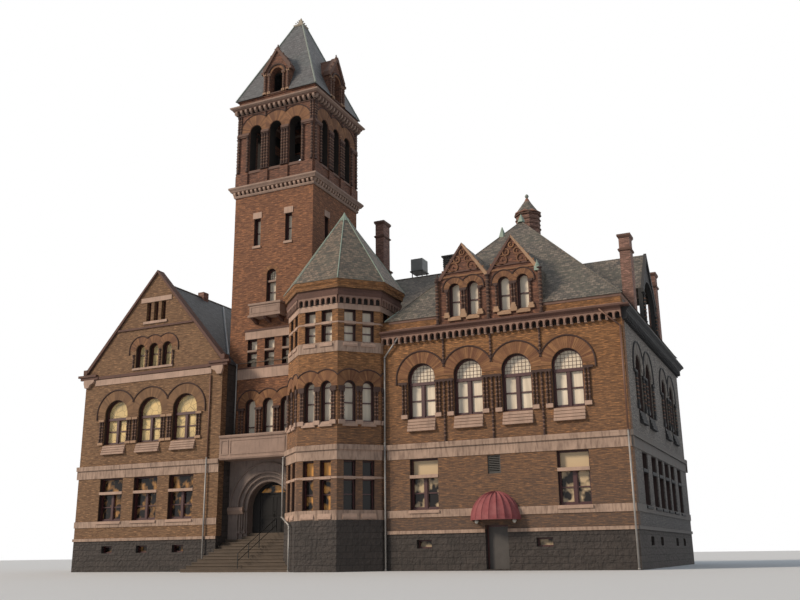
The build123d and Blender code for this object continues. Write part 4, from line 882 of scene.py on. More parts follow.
def balconet():
    """Small stone balcony under the tall tower window."""
    stone = Piece("tower_balconet", "trim_stone", "trim_stone")
    brackets = Piece("balconet_brackets", "coping_stone", "trim_stone")
    low, slab, rail, top = 14.50, 14.64, 15.22, 15.34
    for row in ((1.70, 3.98, low, slab, -0.72), (1.78, 3.90, slab, rail, -0.66, -0.54),
                (1.78, 1.90, slab, rail, -0.54), (3.78, 3.90, slab, rail, -0.54),
                (1.70, 3.98, rail, top, -0.72, -0.48), (1.70, 1.96, rail, top, -0.48),
                (3.72, 3.98, rail, top, -0.48)):
        stone.block(tower_front, *row)
    stone.border(tower_front, 1.88, 3.80, 14.72, 15.14, 0.06, -0.68, -0.66)
    for s in (1.95, TOWER_HALF, 3.73):
        brackets.span(tower_front, s, 0.09, [(0.0, 14.20), (0.0, 14.50), (-0.64, 14.50), (-0.60, 14.40),
                                             (-0.35, 14.34), (-0.18, 14.24)])


def tower_detail():
    """Windows, bands and strings of the tower under the belfry."""
    bands = Piece("tower_bands", "pale_stone", "trim_stone")
    strings = Piece("tower_strings", "coping_stone", "red_brick")
    front, middle, pitch, spring = tower_front, TOWER_HALF, 1.22, 9.35
    tall_spring, tall_transom = 17.28, 16.93
    bands.block(front, 0.0, TOWER_WIDE, 10.92, 11.54, -0.05)
    bands.block(front, 1.12, TOWER_WIDE, 13.33, 13.82, -0.05)
    strings.block(front, 1.08, 5.70, 13.82, 13.92, -0.10)
    strings.block(front, 0.0, 5.70, 11.54, 11.62, -0.09)
    windows = trio(middle, pitch)
    tower_kit.row(front, windows, spring, 0.362, 0.86, 0.25, 0.6, 22)
    for s in windows:
        reveal(front, s, 0.36, 6.92, spring, True)
        reveal(front, s, 0.34, 11.57, 13.32)
        sash(front, s, 0.32, 11.60, 12.54)
        sash(front, s, 0.32, 12.68, 13.31)
        cross_bar(front, s, 0.3, 12.06)
        cross_bar(front, s, 0.3, 8.08)
        tower_kit.stepped_sill(front, s, 0.74, 6.90, 6.72, 1)
    tower_kit.blocks.pads(front, windows, 0.34, 12.55, 12.67, -0.03, 0.3)
    piers = both(middle, pitch / 2, pitch * 1.5)
    tower_kit.hoods.pads(front, piers, 0.24, 9.06, 9.18, -0.12)
    tower_kit.blocks.pads(front, piers, 0.22, 7.44, 7.56, -0.11)
    for s in piers:
        shafts(tower_kit.shafts, front, both(s, 0.11), -0.05, 7.56, 9.06, 0.055)
    balconet()
    tower_kit.bricks.ring_blocks(front, middle, tall_spring, 0.342, 0.58, -0.012, 0.05, 18)
    tower_kit.blocks.pads(front, [middle], 0.34, 16.81, tall_transom, 0.10, 0.3)
    reveal(front, middle, 0.34, 15.57, tall_spring, True)
    fanlight(front, middle, tall_spring, 0.30, tall_transom, 0.15)
    cross_bar(front, middle, 0.3, 16.2)
    for side in tower_sides:
        slits = both(middle, 1.13)
        bands.pads(side, slits, 0.32, 21.05, 21.45, -0.04)
        bands.pads(side, slits, 0.30, 19.10, 19.25, -0.07, 0.05)
        for s in slits:
            reveal(side, s, 0.24, 19.27, 21.04)
            cross_bar(side, s, 0.2, 20.15)


def corbel_row(piece, side, s0, s1, count, low, high, out, share):
    """Corbels with rounded feet, evenly spaced."""
    pitch = (s1 - s0) / count
    section = [(0.0, low), (-out * 0.45, low), (-out * 0.85, low + (high - low) * 0.30),
               (-out, low + (high - low) * 0.6), (-out, high), (0.0, high)]
    for number in range(count):
        piece.span(side, s0 + pitch * (number + 0.5), pitch * share / 2, section)


def tower_cornices():
    """Cornices under and over the belfry, in place of the plain ones."""
    stone = Piece("tower_cornice_stone", "trim_stone", "trim_stone", "tower_lower_cornice")
    upper = Piece("belfry_cornice_stone", "brown_stone", "trim_stone", "tower_upper_cornice")
    line = Piece("belfry_cornice_line", "trim_stone", "trim_stone", "tower_upper_cornice")
    brick = Piece("tower_eaves_brick", "red_brick", "red_brick", "tower_upper_cornice")
    teeth = Piece("tower_cornice_teeth", "pale_stone", "trim_stone")
    dark = Piece("belfry_cornice_corbels", "trim_stone", "trim_stone")
    # a dark band behind the cornice corbels: painted shade between them
    gaps = Piece("cornice_gaps", "sooty_recess", "red_brick")
    lower, upper_row = (22.80, 23.04), (28.44, 28.70)
    for side in tower_sides:
        corbel_row(teeth, side, -0.14, 5.82, 19, *lower, 0.20, 0.45)
        corbel_row(dark, side, -0.22, 5.90, 17, *upper_row, 0.27, 0.42)
        for levels in (lower, upper_row):
            gaps.block(side, 0.0, TOWER_WIDE, *levels, -0.008)
    inner = -0.70
    for piece, section in (
            (stone, [(0.0, 22.66), (0.06, 22.66), (0.10, 22.74), (0.10, 22.80), (0.0, 22.80)]),
            (stone, [(0.0, 23.04), (0.24, 23.04), (0.28, 23.12), (0.36, 23.22), (0.36, 23.32), (0.10, 23.40),
                     (0.0, 23.40)]),
            (upper, [(inner, 28.35), (0.05, 28.35), (0.05, 28.42), (0.0, 28.44), (0.0, 28.68), (0.26, 28.70),
                     (0.30, 28.78), (0.02, 28.80), (inner, 28.80)]),
            (line, [(inner, 28.80), (0.30, 28.80), (0.43, 28.87), (0.45, 28.95), (0.02, 29.00),
                    (inner, 29.00)]),
            (brick, [(inner, 29.00), (0.0, 29.00), (0.0, 29.38), (0.06, 29.40), (0.06, 29.45),
                     (inner, 29.45)])):
        piece.loop(square(TOWER_HALF), section, True)


def belfry():
    """Arches, shafts and pedestals of the belfry, and dark sheets of painted shade in its openings."""
    stone, columns = belfry_kit.blocks, belfry_kit.shafts
    pedestal = Piece("belfry_pedestal_faces", "red_brick", "red_brick")
    belfry_shade = Piece("belfry_shade_sheets", "sooty_recess", "red_brick")
    middle, pitch, spring, foot, cap = TOWER_HALF, 1.48, 27.10, 24.36, 26.82
    arches = trio(middle, pitch)
    for side in tower_sides:
        belfry_kit.row(side, arches, spring, 0.442, 1.14, 0.20, 0.6, 26)
        for s in arches:
            belfry_kit.sills.span(side, s, 0.44, [(-0.05, 24.20), (-0.05, 24.26), (0.0, 24.40),
                                                  (0.72, 24.40), (0.72, 24.20)])
            reveal(side, s, 0.44, 24.42, spring, True, belfry_shade, 0.06, 0.70, 0.015)
        for half, places in ((0.43, both(middle, 2.38)), (0.29, both(middle, 0.74))):
            stone.pads(side, places, half, 26.90, 27.06, -0.11)
            stone.pads(side, places, half - 0.04, 26.80, 26.90, -0.07)
            for s in places:
                pedestal.span(side, s, half, [(-0.11, 23.42), (-0.11, 24.22), (0.0, 24.36), (0.0, 23.42)])
                shafts(columns, side, both(s, half - 0.10), -0.05, foot, cap, 0.07)
        shafts(columns, side, both(middle, 0.74), -0.06, foot, cap, 0.065)
        shafts(columns, side, both(middle, 2.60, 2.76), -0.03, 27.06, 28.36, 0.055)
        shafts(columns, side, both(middle, 0.74), -0.03, 28.02, 28.36, 0.055)
        # dark sheets on the jambs, behind the openings and round them: painted shade inside the belfry
        behind = (0.702, 0.712)
        belfry_shade.pads(side, both(middle, 2.38), 0.40, 24.42, 27.0, *behind)
        belfry_shade.pads(side, both(middle, 0.74), 0.28, 24.42, 27.0, *behind)
        for levels in ((27.66, 28.34), (23.66, 24.18)):
            belfry_shade.block(side, 0.75, 4.93, *levels, *behind)


def tower_top():
    """Hips, crest and dormer trims of the tower roof."""
    coping = Piece("tower_dormer_copings", "brown_stone", "trim_stone")
    ridges = Piece("tower_hips", "hip_lead", "metal_lead")
    crest = Piece("tower_crest", "crest_stone", "metal_lead")
    stones = Piece("tower_dormer_capitals", "golden_stone", "trim_stone")
    top, tip, middle, spring = 35.90, 0.30, TOWER_HALF, 30.90
    reach, foot, apex = 1.03, 31.36, 32.82
    for low, high in zip(square(3.00), square(tip)):
        ridges.rods([(*low, 29.45), (*high, top)], 0.06)
    crest.loop(square(tip), [(0.0, top - 0.10), (0.05, top - 0.06), (0.08, top), (0.08, top + 0.06),
                             (0.0, top + 0.10)], True)
    for level in (0.25, 0.50, 0.75):
        z = top + 0.10 + level * 0.55
        for x, y in square(tip * (1 - level) + 0.03):
            crest.turned(LEVEL, x, y, [(0.02, z - 0.04), (0.05, z), (0.02, z + 0.05)], 6)
    for side in tower_sides:
        for way in (-1, 1):
            coping.prism(side, slope(middle, way, reach, 0.16, 31.16, 32.54, apex, foot), -0.10, 0.40)
            for level in (0.25, 0.55, 0.85):
                z = foot + (apex - foot) * level
                knob = [(0.03, z - 0.02), (0.07, z + 0.06), (0.02, z + 0.14)]
                coping.turned(side, middle + way * reach * (1 - level), -0.03, knob, 6)
        coping.pads(side, both(middle, reach), 0.10, 31.0, 31.16, -0.12, 0.3)
        coping.pads(side, both(middle, 0.54), 0.12, 30.86, 30.96, -0.14)
        shafts(coping, side, both(middle, 0.54), -0.06, 29.55, 30.86, 0.06)
        shafts(coping, side, both(middle, 0.86), -0.06, 29.50, 31.0, 0.07)
        stones.pads(side, both(middle, 0.54), 0.11, 30.80, 30.96, -0.13)
        stones.pads(side, both(middle, 0.86), 0.11, 30.86, 31.02, -0.13)
        stones.pads(side, both(middle, 0.54, 0.86), 0.11, 29.50, 29.66, -0.13)
        belfry_kit.hood(side, middle, spring, 0.58)
        belfry_kit.bricks.ring_blocks(side, middle, spring, 0.432, 0.58, -0.02, 0.05, 16)
        coping.span(side, middle, 0.60, [(-0.10, 29.47), (-0.10, 29.54), (0.0, 29.60), (0.40, 29.60),
                                         (0.40, 29.47)])
        coping.turned(side, middle, 0.05, [(0.08, 32.75), (0.08, 32.86), (0.03, 32.9), (0.06, 32.96),
                                           (0.01, 33.06)], 8)


def turret_detail():
    """Windows, shafts, bands, cornice and hips of the turret."""
    corbels = Piece("turret_corbels", "terracotta", "trim_stone", "turret_cornice")
    eaves = Piece("turret_eaves", "coping_stone", "red_brick", "turret_cornice")
    fascia = Piece("turret_fascia", "golden_brick", "red_brick", "turret_cornice")
    # a dark sheet behind the corbel arches: painted shade
    recess = Piece("turret_recesses", "sooty_recess", "red_brick")
    ridges = Piece("turret_hips", "green_copper", "metal_lead")
    half_face = TURRET_APOTHEM * math.tan(math.pi / 8)
    low, top, inner = 13.59, 14.01, -0.45
    count, spring = 7, 9.18
    pitch = 2 * half_face / count
    for side in map(turret_side, range(8)):
        for step in range(count):
            outline = corbel_outline(pitch * step - half_face, pitch, low, 13.80, top)
            corbels.prism(side, outline, -0.15, -0.002)
        recess.pads(side, [0.0], half_face - 0.05, low, 14.0, -0.012, -0.002)
    for piece, section in (
            (eaves, [(inner, top), (0.16, top), (0.18, 14.20), (0.12, 14.24), (0.12, 14.42), (inner, 14.42)]),
            (fascia, [(inner, 14.42), (0.22, 14.42), (0.24, 14.60), (0.32, 14.70), (0.34, 14.85),
                      (inner, 14.85)]),
            (corbels, [(inner, low), (0.0, low), (0.0, top), (inner, top)])):
        piece.loop(octagon(TURRET_X, TURRET_Y, 3.06), section, True)
    stone = turret_kit.blocks
    windows = both(0.0, 0.5)
    for side in map(turret_side, (-2, -1, 0, 1, 2)):
        turret_kit.row(side, windows, spring, 0.322, 0.86, 0.0, 0.55, 22, (-1.171, 1.171), 0.015)
        for z in (4.54, 12.58):
            stone.pads(side, windows, 0.32, z - 0.07, z + 0.07, -0.03, 0.3)
        for s in windows:
            reveal(side, s, 0.32, 2.93, 5.40)
            reveal(side, s, 0.32, 7.40, spring, True)
            reveal(side, s, 0.32, 11.58, 13.27)
            for z in (3.73, 8.36, 12.05):
                cross_bar(side, s, 0.28, z)
            for z0, z1 in ((2.93, 4.46), (4.62, 5.40), (7.42, spring), (11.58, 12.50), (12.66, 13.27)):
                sash(side, s, 0.30, z0, z1)
            for half, z0, z1 in ((0.40, 7.12, 7.40), (0.38, 11.30, 11.56), (0.38, 2.52, 2.91)):
                turret_kit.sill(side, s, half, z0, z0 + 0.10, z1 - 0.02, z1)
        shafts(turret_kit.shafts, side, both(0.0, 0.08, 0.86, 0.98), -0.04, 7.45, 8.95, 0.045)
        for half, places in ((0.17, both(0.0, 0.95)), (0.18, [0.0])):
            turret_kit.hoods.pads(side, places, half, 8.95, 9.19, -0.09)
            stone.pads(side, places, half, 7.22, 7.44, -0.12)
        stone.pads(side, [0.0], half_face, 13.28, 13.58, -0.04)
        for z0, z1 in ((4.50, 4.60), (12.54, 12.62)):
            stone.pads(side, both(0.0, (half_face + 0.83) / 2), (half_face - 0.83) / 2, z0, z1, -0.02)
            stone.pads(side, [0.0], 0.17, z0, z1, -0.02)
    for corner in octagon(TURRET_X, TURRET_Y, 3.42):
        ridges.rods([(*corner, 14.88), (TURRET_X, TURRET_Y, 19.74)], 0.032)
    ridges.turned(LEVEL, TURRET_X, TURRET_Y, [(0.36, 19.26), (0.30, 19.36), (0.10, 19.66), (0.02, 19.84)], 8)


def porch_detail():
    """Rolls, impost and shafts of the porch arch, and the mouldings of the balcony above."""
    orders = Piece("porch_orders", "porch_stone", "trim_stone")
    capitals = Piece("porch_capitals", "trim_stone", "trim_stone")
    panel = Piece("balcony_panel", "trim_stone", "trim_stone")
    centre, spring = PORCH_X - LEFT_X1, 3.43
    roll = ((0.10, 0.0), (0.10, -0.02), (0.07, -0.05), (0.02, -0.05), (-0.02, -0.02), (-0.02, 0.06))
    for radius, deep in ((1.93, 0.0), (1.69, 0.13), (1.45, 0.26)):
        orders.arc(porch_side, centre, spring, [(radius + r, deep + d) for r, d in roll], steps=40)
    orders.arc(porch_side, centre, spring, [(2.43, 0.0), (2.43, -0.05), (2.48, -0.09), (2.53, -0.06),
                                            (2.53, 0.0)], steps=40)
    impost = ((0.0, 3.20), (-0.03, 3.20), (-0.08, 3.30), (-0.08, 3.43), (-0.04, 3.47), (0.0, 3.47))
    for way in (-1, 1):
        for near, far, deep in ((1.90, 2.574, 0.0), (1.66, 1.93, 0.13), (1.42, 1.69, 0.26)):
            orders.run(porch_side, *flank(centre, way, near, far), [(deep + d, z) for d, z in impost])
        for radius, deep, thick in ((1.83, 0.07, 0.06), (1.59, 0.20, 0.055)):
            orders.turned(porch_side, centre + way * radius, deep,
                          [(thick * 1.7, FLOOR), (thick * 1.7, 2.16), (thick, 2.24), (thick, 3.08),
                           (thick * 1.6, 3.20)], 10)
        capitals.span(porch_side, centre + way * 2.06, 0.52,
                      [(0.0, 3.10), (-0.06, 3.10), (-0.14, 3.30), (-0.14, 3.46), (-0.02, 3.52), (0.0, 3.52)])
    wall = Side(LEFT_X1, BALCONY_Y, 0)
    for section in ([(0.0, 7.30), (-0.07, 7.32), (-0.10, 7.40), (-0.10, 7.47), (0.24, 7.47), (0.24, 7.43),
                     (0.0, 7.43)],
                    [(0.0, 6.09), (-0.05, 6.09), (-0.09, 6.18), (-0.02, 6.26), (0.0, 6.26)]):
        panel.run(wall, 0.0, TURRET_LEFT - LEFT_X1, section)
    for s0, s1 in ((0.10, 0.62), (0.72, 4.40), (4.50, 5.05)):
        panel.border(wall, s0, s1, 6.36, 7.20, 0.06, -0.03)


def step_nosings():
    """Rounded front edge of every step."""
    edges = Piece("step_nosings", "step_stone", "step_stone")
    riser, tread = FLOOR / 12, 0.328
    for number in range(2, 12):
        y = TOWER_Y0 + 0.20 - tread * number
        top = FLOOR - riser * number
        left = LEFT_X1 - 0.12 * max(LEFT_Y0 - y, 0.0) / tread + 0.01
        right = -1.43 + max(-8.711 - y, 0.0)
        edges.run(Side(left, y, 0), 0.0, right - left, [
            (0.0, top - 0.05), (-0.02, top - 0.045), (-0.03, top - 0.02), (-0.02, top + 0.004),
            (0.02, top + 0.006), (0.06, top + 0.002)])


def right_dormers():
    """Stone and moulded brick on the twin dormers, and their copings."""
    coping = Piece("dormer_copings", "coping_stone", "red_brick")
    edge = Piece("dormer_coping_edges", "golden_stone", "red_brick")
    relief = Piece("dormer_relief", "red_arch_brick", "red_brick")
    kneeler = Piece("dormer_kneeler", "green_copper", "metal_lead")
    stone, tubes, hoods = dormer_kit.blocks, dormer_kit.shafts, dormer_kit.hoods
    front, middles = right_front, (4.37, 7.06)
    for s in middles:
        dormer_kit.row(front, both(s, 0.5), 14.06, 0.302, 0.60, 0.10, 0.6, 18)
        for way in (-1, 1):
            (edge if way > 0 else coping).prism(
                front, slope(s, way, 1.345, 0.12, 14.56, 16.36, 16.52, 14.70), -0.08, 0.4)
        for window in both(s, 0.5):
            reveal(front, window, 0.30, 12.60, 14.10, True)
            cross_bar(front, window, 0.26, 13.42)
            dormer_kit.sill(front, window, 0.36, 12.34, 12.46, 12.57, 12.58)
        shafts(tubes, front, both(s, 0.90), -0.05, 12.80, 13.92, 0.05)
        shafts(tubes, front, both(s, 0.07), -0.05, 12.90, 13.92, 0.045)
        for half, low, high in ((0.16, 12.52, 12.66), (0.12, 12.66, 12.80)):
            stone.pads(front, both(s, 0.92), half, low, high, -0.11)
        for half, low, high in ((0.18, 12.46, 12.66), (0.13, 12.66, 12.80), (0.10, 12.80, 12.90)):
            stone.pads(front, [s], half, low, high, -0.12)
        hoods.pads(front, both(s, 0.92), 0.12, 13.92, 14.04, -0.09)
        hoods.pads(front, [s], 0.19, 13.92, 14.04, -0.09)
        for offset, z, radius, turn in ((-0.52, 15.22, 0.28, 200), (0.52, 15.22, 0.28, -20),
                                        (-0.30, 15.62, 0.20, 160), (0.30, 15.62, 0.20, 20),
                                        (0.0, 15.98, 0.16, 90), (-0.86, 15.08, 0.14, 180),
                                        (0.86, 15.08, 0.14, 0)):
            inner = radius - 0.06
            relief.arc(front, s + offset, z, [(radius, 0.0), (radius, -0.06), (inner, -0.06), (inner, 0.0)],
                       turn, turn + 290, 14)
            relief.turned(front, s + offset, -0.03, [(0.02, z - 0.05), (0.05, z), (0.02, z + 0.05)], 6)
        for way in (-1, 1):
            for step in range(4):
                near, low = 1.16 - 0.245 * step, 14.86 + 0.30 * step
                relief.block(front, *flank(s, way, near - 0.07, near), low, low + 0.24, -0.05)
        coping.pads(front, [s], 0.98, 14.92, 15.0, -0.06)
    for s, half in ((2.935, 0.10), (8.48, 0.08)):
        relief.pads(front, [s], half, 12.20, 14.60, -0.02)
        shafts(tubes, front, [s], -0.08, 12.20, 14.56, 0.085)
    tubes.turned(front, 2.935, 0.0, [(0.12, 14.60), (0.14, 14.70), (0.05, 14.80), (0.02, 15.0)], 8)
    shafts(tubes, front, [5.715], -0.05, 12.20, 14.56, 0.085)
    relief.block(front, middles[0] - 1.31, middles[1] + 1.31, 14.68, 14.78, -0.05)
    kneeler.block(front, 8.24, 8.50, 14.40, 14.62, -0.16, 0.2)
    kneeler.turned(front, 8.37, -0.02, [(0.11, 14.62), (0.12, 14.72), (0.03, 14.86), (0.01, 15.0)], 8)


def chimney_detail():
    """Slimmer stacks, lantern drum and ridge stub in place of the plain ones, with caps and bands."""
    stacks = Piece("chimney_stacks", "chimney_brick", "red_brick", "chimneys")
    caps = Piece("chimney_caps", "brown_stone", "red_brick", "chimneys")
    for x0, x1, y0, y1, low, high, cap, band in (
            (16.32, 16.88, -4.28, -3.52, 12.70, 17.10, 0.10, 16.25),
            (16.32, 16.88, 3.52, 4.28, 12.70, 17.10, 0.10, 16.25),
            (-0.05, 0.53, -0.43, 0.50, 15.90, 21.93, 0.12, 20.87),
            (-0.13, 0.61, -0.51, 0.58, 15.90, 18.55, 0.0, 18.60),
            (-11.96, -11.49, -3.32, -2.78, 16.90, 17.90, 0.0, 0.0)):
        stacks.block(LEVEL, x0, x1, low, high, y0, y1)
        path = [(x0, y0), (x1, y0), (x1, y1), (x0, y1)]
        if cap:
            caps.loop(path, [(0.0, high - cap - 0.12), (0.03, high - cap - 0.08), (0.08, high - cap),
                             (0.08, high), (0.0, high)], True)
        if band:
            caps.loop(path, [(0.0, band - 0.09), (0.06, band - 0.06), (0.08, band + 0.02),
                             (0.0, band + 0.09)], True)
    drum = octagon(LANTERN_X, LANTERN_Y, LANTERN_RADIUS)
    stacks.lofted([[(x, y, z) for x, y in drum] for z in (18.30, 19.95)])


def lantern_detail():
    """Bands, flared cap and ball of the small lantern on the ridge."""
    mould = Piece("lantern_bands", "brown_stone", "red_brick")
    roof = Piece("lantern_roof", "terracotta_tile", "red_brick")
    ball = Piece("lantern_finial", "hip_lead", "metal_lead", smooth=True)
    for z, out in ((19.02, 0.05), (19.30, 0.03), (19.58, 0.05), (19.88, 0.09)):
        mould.loop(octagon(LANTERN_X, LANTERN_Y, LANTERN_RADIUS),
                   [(0.0, z - 0.06), (out, z - 0.04), (out, z + 0.03), (0.0, z + 0.05)], True)
    roof.turned(LEVEL, LANTERN_X, LANTERN_Y, [(0.80, 19.95), (0.82, 20.00), (0.60, 20.16), (0.40, 20.42),
                                              (0.20, 20.76), (0.07, 21.02)], 8)
    ball.turned(LEVEL, LANTERN_X, LANTERN_Y, [(0.05, 20.9), (0.05, 21.03), (0.10, 21.08), (0.12, 21.15),
                                              (0.08, 21.23), (0.02, 21.28)])


def side_gable_detail():
    """Bargeboards and arch trim of the open cross gable."""
    boards = Piece("side_bargeboards", "grey_stone", "trim_stone")
    middle = 8.415
    for way in (-1, 1):
        boards.prism(right_side, slope(middle, way, 2.02, 0.20, 14.42, 16.90, 17.22, 14.66), -0.10, 0.06)
    shafts(boards, right_side, both(middle, 1.76), -0.05, 12.75, 14.40, 0.07)
    boards.arc(right_side, middle, 13.85, [(1.60, 0.0), (1.60, -0.05), (1.70, -0.07), (1.72, 0.0)], steps=24)


def wall_bands():
    """Belt moulding with mitred corners."""
    belt = Piece("belt_moulding", "band_stone", "trim_stone")
    section = [(0.004, 5.93), (0.054, 5.93), (0.064, 6.02), (0.124, 6.08), (0.124, 6.17), (0.004, 6.19)]
    belt.loop([(TURRET_RIGHT + 0.02, RIGHT_Y0), (RIGHT_X1, RIGHT_Y0), (RIGHT_X1, RIGHT_Y1),
               (RIGHT_X0, RIGHT_Y1)], section)
    belt.loop([(RIGHT_X0, LEFT_Y1), (LEFT_X0, LEFT_Y1), (LEFT_X0, LEFT_Y0), (LEFT_X1, LEFT_Y0)], section)


def roof_trim():
    """Ridges, hips, caps and flashing of the wing roofs, and the raised middle ridge."""
    ridges = Piece("roof_ridges", "roof_slate", "slate")
    cap = Piece("hip_caps", "green_copper", "metal_lead")
    strip = Piece("roof_flashing", "valley_lead", "metal_lead")
    tip, foot, reach = 19.1, 12.70, 0.12
    mid = (RIGHT_X0 + RIGHT_X1) / 2
    left_mid, west, east = (LEFT_X0 + LEFT_X1) / 2, -6.9, 9.2
    near, far = RIGHT_Y0 + 5.0, RIGHT_Y1 - 5.0
    ridges.rods([(mid, near, tip), (mid, far, tip)], 0.06)
    for x in (RIGHT_X0 - reach, RIGHT_X1 + reach):
        for y, end in ((RIGHT_Y0 - reach, near - 0.02), (RIGHT_Y1 + reach, far + 0.02)):
            ridges.rods([(x, y, foot), (mid, end, tip - 0.02)], 0.035)
    ridges.rods([(left_mid, LEFT_Y0 + 0.5, 17.55), (left_mid, LEFT_Y1 - 0.5, 17.55)], 0.06)
    ridges.rods([(west, RIDGE_Y, RIDGE_TOP), (east, RIDGE_Y, RIDGE_TOP)], 0.05)
    half_roof, low, under = 7.0, 11.95, 17.40
    places = ((-11.3, 17.47), (west, RIDGE_TOP), (east, RIDGE_TOP))
    ridges.lofted([[(x, RIDGE_Y - half_roof, low), (x, RIDGE_Y, top), (x, RIDGE_Y + half_roof, low),
                    (x, RIDGE_Y, under)] for x, top in places])
    cap.turned(LEVEL, HIP_CAP_X, HIP_CAP_Y, [(0.24, 17.95), (0.22, 18.10), (0.03, 18.66)], 6)
    cap.turned(LEVEL, mid, near - 0.02, [(0.22, 19.02), (0.20, 19.14), (0.03, 19.50)], 6)
    cap.rods([(RIGHT_X0 - 0.10, RIGHT_Y0 - 0.12, 12.74), (HIP_CAP_X, HIP_CAP_Y, 18.0)], 0.03)
    strip.rods([(-7.06, -6.40, 12.56), (-11.5, -1.09, 17.36)], 0.07)


def roof_units():
    """Two boxes on legs behind the middle ridge, in place of the plain ones."""
    boxes = Piece("roof_boxes", "sheet_metal", "metal_lead", "roof_units")
    vents = Piece("roof_unit_frames", "dark_metal", "metal_black", "roof_units")
    ground, box_low, vent_low = 15.50, 18.68, 18.60
    x0, x1, y0, y1 = 4.04, 4.76, 1.175, 1.995
    boxes.block(LEVEL, 1.76, 2.58, box_low, 19.49, 1.135, 2.035)
    vents.block(LEVEL, x0, x1, vent_low, 19.30, y0, y1)
    vents.block(LEVEL, 3.94, 4.86, 19.30, 19.40, 1.10, 2.07)
    vents.block(LEVEL, 1.70, 2.64, vent_low, box_low, 1.10, 2.07)
    for places, depths, wide, high in (((1.80, 2.50), (y0, 1.955), 0.05, box_low),
                                       ((x0, x1 - 0.08), (y0, y1 - 0.08), 0.08, vent_low)):
        for x in places:
            for y in depths:
                vents.block(LEVEL, x, x + wide, ground, high, y, y + wide)
    for number in range(5):
        z = 18.66 + 0.13 * number
        slat = [(0.0, z), (-0.04, z), (0.0, z + 0.07)]
        vents.run(Side(x0, y0, 0), -0.02, 0.74, slat)
        vents.run(Side(x1, y0, 90), 0.0, 0.82, slat)


def pipes():
    """Rain pipes from the gutters to the ground."""
    pale = Piece("rain_pipes", "pipe_paint", "metal_lead", smooth=True)
    brown = Piece("upper_rain_pipe", "brown_pipe", "metal_lead", smooth=True)
    for piece, route in (
            (pale, [(5.30, -8.60, 11.79), (4.46, -8.52, 10.80), (4.46, -8.58, 6.3), (4.46, -8.58, 0.05)]),
            (brown, [(15.95, -8.80, 11.95), (16.84, -8.52, 11.1), (16.84, -8.58, 6.2)]),
            (pale, [(16.84, -8.58, 6.2), (16.84, -8.58, 0.05)]),
            (pale, [(-1.44, -8.40, 6.05), (-1.50, -8.80, 5.85), (-1.50, -8.80, 2.75), (-0.36, -9.96, 2.30),
                    (-0.30, -10.02, 2.1), (-0.30, -10.02, 0.05)]),
            (pale, [(-6.42, -6.40, 11.9), (-6.42, -6.40, 7.40)]),
            (brown, [(-7.30, -7.74, 11.1), (-7.30, -7.74, 6.3)]),
            (pale, [(-7.30, -7.80, 6.3), (-7.30, -7.80, 0.05)])):
        piece.rods(route, 0.045, 8)
        for x, y, z in route[1:]:
            piece.rods([(x, y, z - 0.03), (x, y, z + 0.03)], 0.06, 8)


def awning():
    """Ribbed cloth dome in place of the plain one, with two small lamps under its rim."""
    cloth = Piece("awning_dome", "awning_cloth", "awning_cloth", "door_awning")
    seams = Piece("awning_seams", "awning_cloth", "awning_cloth")
    lamps = Piece("awning_lamps", "lamp_glass", "metal_lead", smooth=True)
    x0 = RIGHT_X0 + 5.665
    gores, levels, strips = 10, 9, 4

    def point(turn, level, grow=0.0):
        azimuth, rise, size = math.pi * turn, math.pi / 2 * level, 1.0 + grow
        x = x0 - 1.23 * math.cos(azimuth) * math.cos(rise) * size
        y = RIGHT_Y0 - 1.10 * math.sin(azimuth) * math.cos(rise) * size
        return (x, y, 2.33 + 1.33 * math.sin(rise) * size)

    width = gores * strips + 1
    for level in range(levels + 1):
        for step in range(width):
            bulge = -0.035 * math.sin(math.pi * (step % strips) / strips)
            cloth.verts.append(point(step / (gores * strips), min(level / levels, 0.995), bulge))
    for level in range(levels):
        for step in range(width - 1):
            one = level * width + step
            cloth.faces.append((one, one + 1, one + 1 + width, one + width))
    for gore in range(gores + 1):
        seams.rods([point(gore / gores, min(level / levels, 0.99), 0.004) for level in range(levels + 1)],
                   0.012, 5)
    seams.rods([point(step / 40, 0.0) for step in range(41)], 0.018)
    for x in both(x0, 0.95):
        lamps.turned(LEVEL, x, RIGHT_Y0 - 0.14, [(0.03, 2.44), (0.03, 2.36), (0.085, 2.32), (0.10, 2.26),
                                                 (0.07, 2.19), (0.02, 2.16)])
        lamps.rods([(x, RIGHT_Y0, 2.42), (x, RIGHT_Y0 - 0.16, 2.42)], 0.025)


def door_detail():
    """Panels and handles on the entrance leaves."""
    y, width = TOWER_Y0 + 0.59, 0.938
    for name, x0, place in (("left", -4.88, width - 0.05), ("right", -3.930, 0.05)):
        body = name + "_leaf"
        panels = Piece("door_panels_" + name, "door_paint", "door_wood", body=body)
        handle = Piece("door_pull_" + name, "black_iron", "metal_black", body=body, smooth=True)
        for z0, z1 in ((2.20, 2.85), (3.0, 4.05)):
            panels.border(Side(x0, y, 0), 0.10, width - 0.10, z0, z1, 0.04, -0.02)
        x = x0 + place
        handle.rods([(x, y - 0.05, 2.95), (x, y - 0.05, 3.25)], 0.012, 8)
        for z in (2.97, 3.23):
            handle.rods([(x, y, z), (x, y - 0.05, z)], 0.010, 8)


def set_floor():
    """Pale floor that keeps the shadow."""
    size = 400.0
    mesh = bpy.data.meshes.new("floor")
    mesh.from_pydata([(x * size, y * size, -0.002) for x, y in ((-1, -1), (1, -1), (1, 1), (-1, 1))],
                     [], [(0, 1, 2, 3)])
    ground = placed("floor", mesh)
    made = Finish("stage_floor", 0.9)
    made.shader.inputs["Base Color"].default_value = (0.66, 0.66, 0.66, 1)
    mesh.materials.append(made.material)


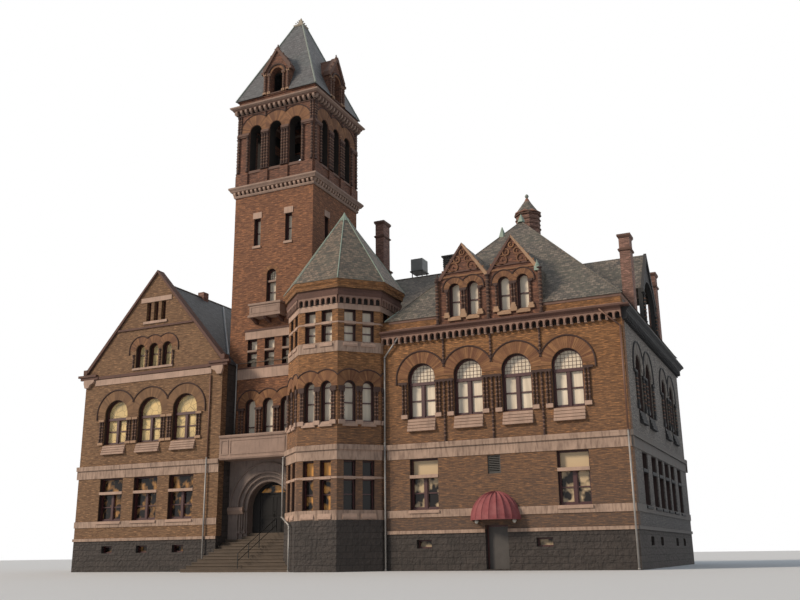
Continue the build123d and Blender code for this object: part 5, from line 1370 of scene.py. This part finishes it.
def set_light():
    """White backdrop for rays that see it, a soft blue sky for the rest, and a low warm sun."""
    world = bpy.data.worlds.new("studio")
    bpy.context.scene.world = world
    world.use_nodes = True
    tree = world.node_tree
    rays = add_node(tree, "ShaderNodeLightPath").outputs
    seen = rays["Is Camera Ray"]
    for kind in ("Is Glossy Ray", "Is Transmission Ray"):
        seen = add_node(tree, "ShaderNodeMath", {0: seen, 1: rays[kind]}, operation="MAXIMUM").outputs[0]
    strength = add_node(tree, "ShaderNodeMapRange", {0: seen, 3: 0.40, 4: 1.0})
    tint = add_node(tree, "ShaderNodeMix", {0: seen, 6: (0.74, 0.86, 1.0), 7: (1.0, 1.0, 1.0)},
                    data_type="RGBA")
    back = tree.nodes["Background"].inputs
    tree.links.new(strength.outputs[0], back["Strength"])
    tree.links.new(tint.outputs[2], back["Color"])
    sun = bpy.data.lights.new("key", "SUN")
    sun.energy = 2.85
    sun.angle = math.radians(12)
    sun.color = (1.0, 0.86, 0.70)
    key = placed("key", sun)
    key.rotation_euler = Vector((0.62, 0.62, -0.48)).to_track_quat("-Z", "Y").to_euler()


def set_camera():
    """Camera as solved from the edges in the photograph."""
    data = bpy.data.cameras.new("camera")
    camera = placed("camera", data)
    focal_pixels, picture_width = 901.0, 800
    data.sensor_width = 36.0
    data.lens = data.sensor_width * focal_pixels / picture_width
    data.clip_end = 1000
    yaw, pitch, roll = (math.radians(angle) for angle in (24.780, 15.731, -0.737))
    forward = Vector((-math.sin(yaw) * math.cos(pitch), math.cos(yaw) * math.cos(pitch), math.sin(pitch)))
    right = Vector((math.cos(yaw), math.sin(yaw), 0.0))
    up = right.cross(forward)
    across = right * math.cos(roll) + up * math.sin(roll)
    upward = -right * math.sin(roll) + up * math.cos(roll)
    turn = Matrix((across, upward, -forward)).transposed()
    camera.matrix_world = Matrix.Translation((24.758, -50.462, 0.82)) @ turn.to_4x4()
    bpy.context.scene.camera = camera
    bpy.context.scene.view_settings.view_transform = "Standard"


dress_nodes()
for build in (wing_windows, wing_eaves, left_gable, tower_detail, tower_cornices, belfry, tower_top,
              turret_detail, porch_detail, step_nosings, right_dormers, chimney_detail, lantern_detail,
              side_gable_detail, wall_bands, roof_trim, roof_units, pipes, awning, door_detail):
    build()
solids = {piece.name: piece.make() for piece in PIECES if piece.verts}
dome = solids["awning_dome"]
dome.modifiers.new("cloth", "SOLIDIFY").thickness = 0.02
set_floor()
set_light()
set_camera()
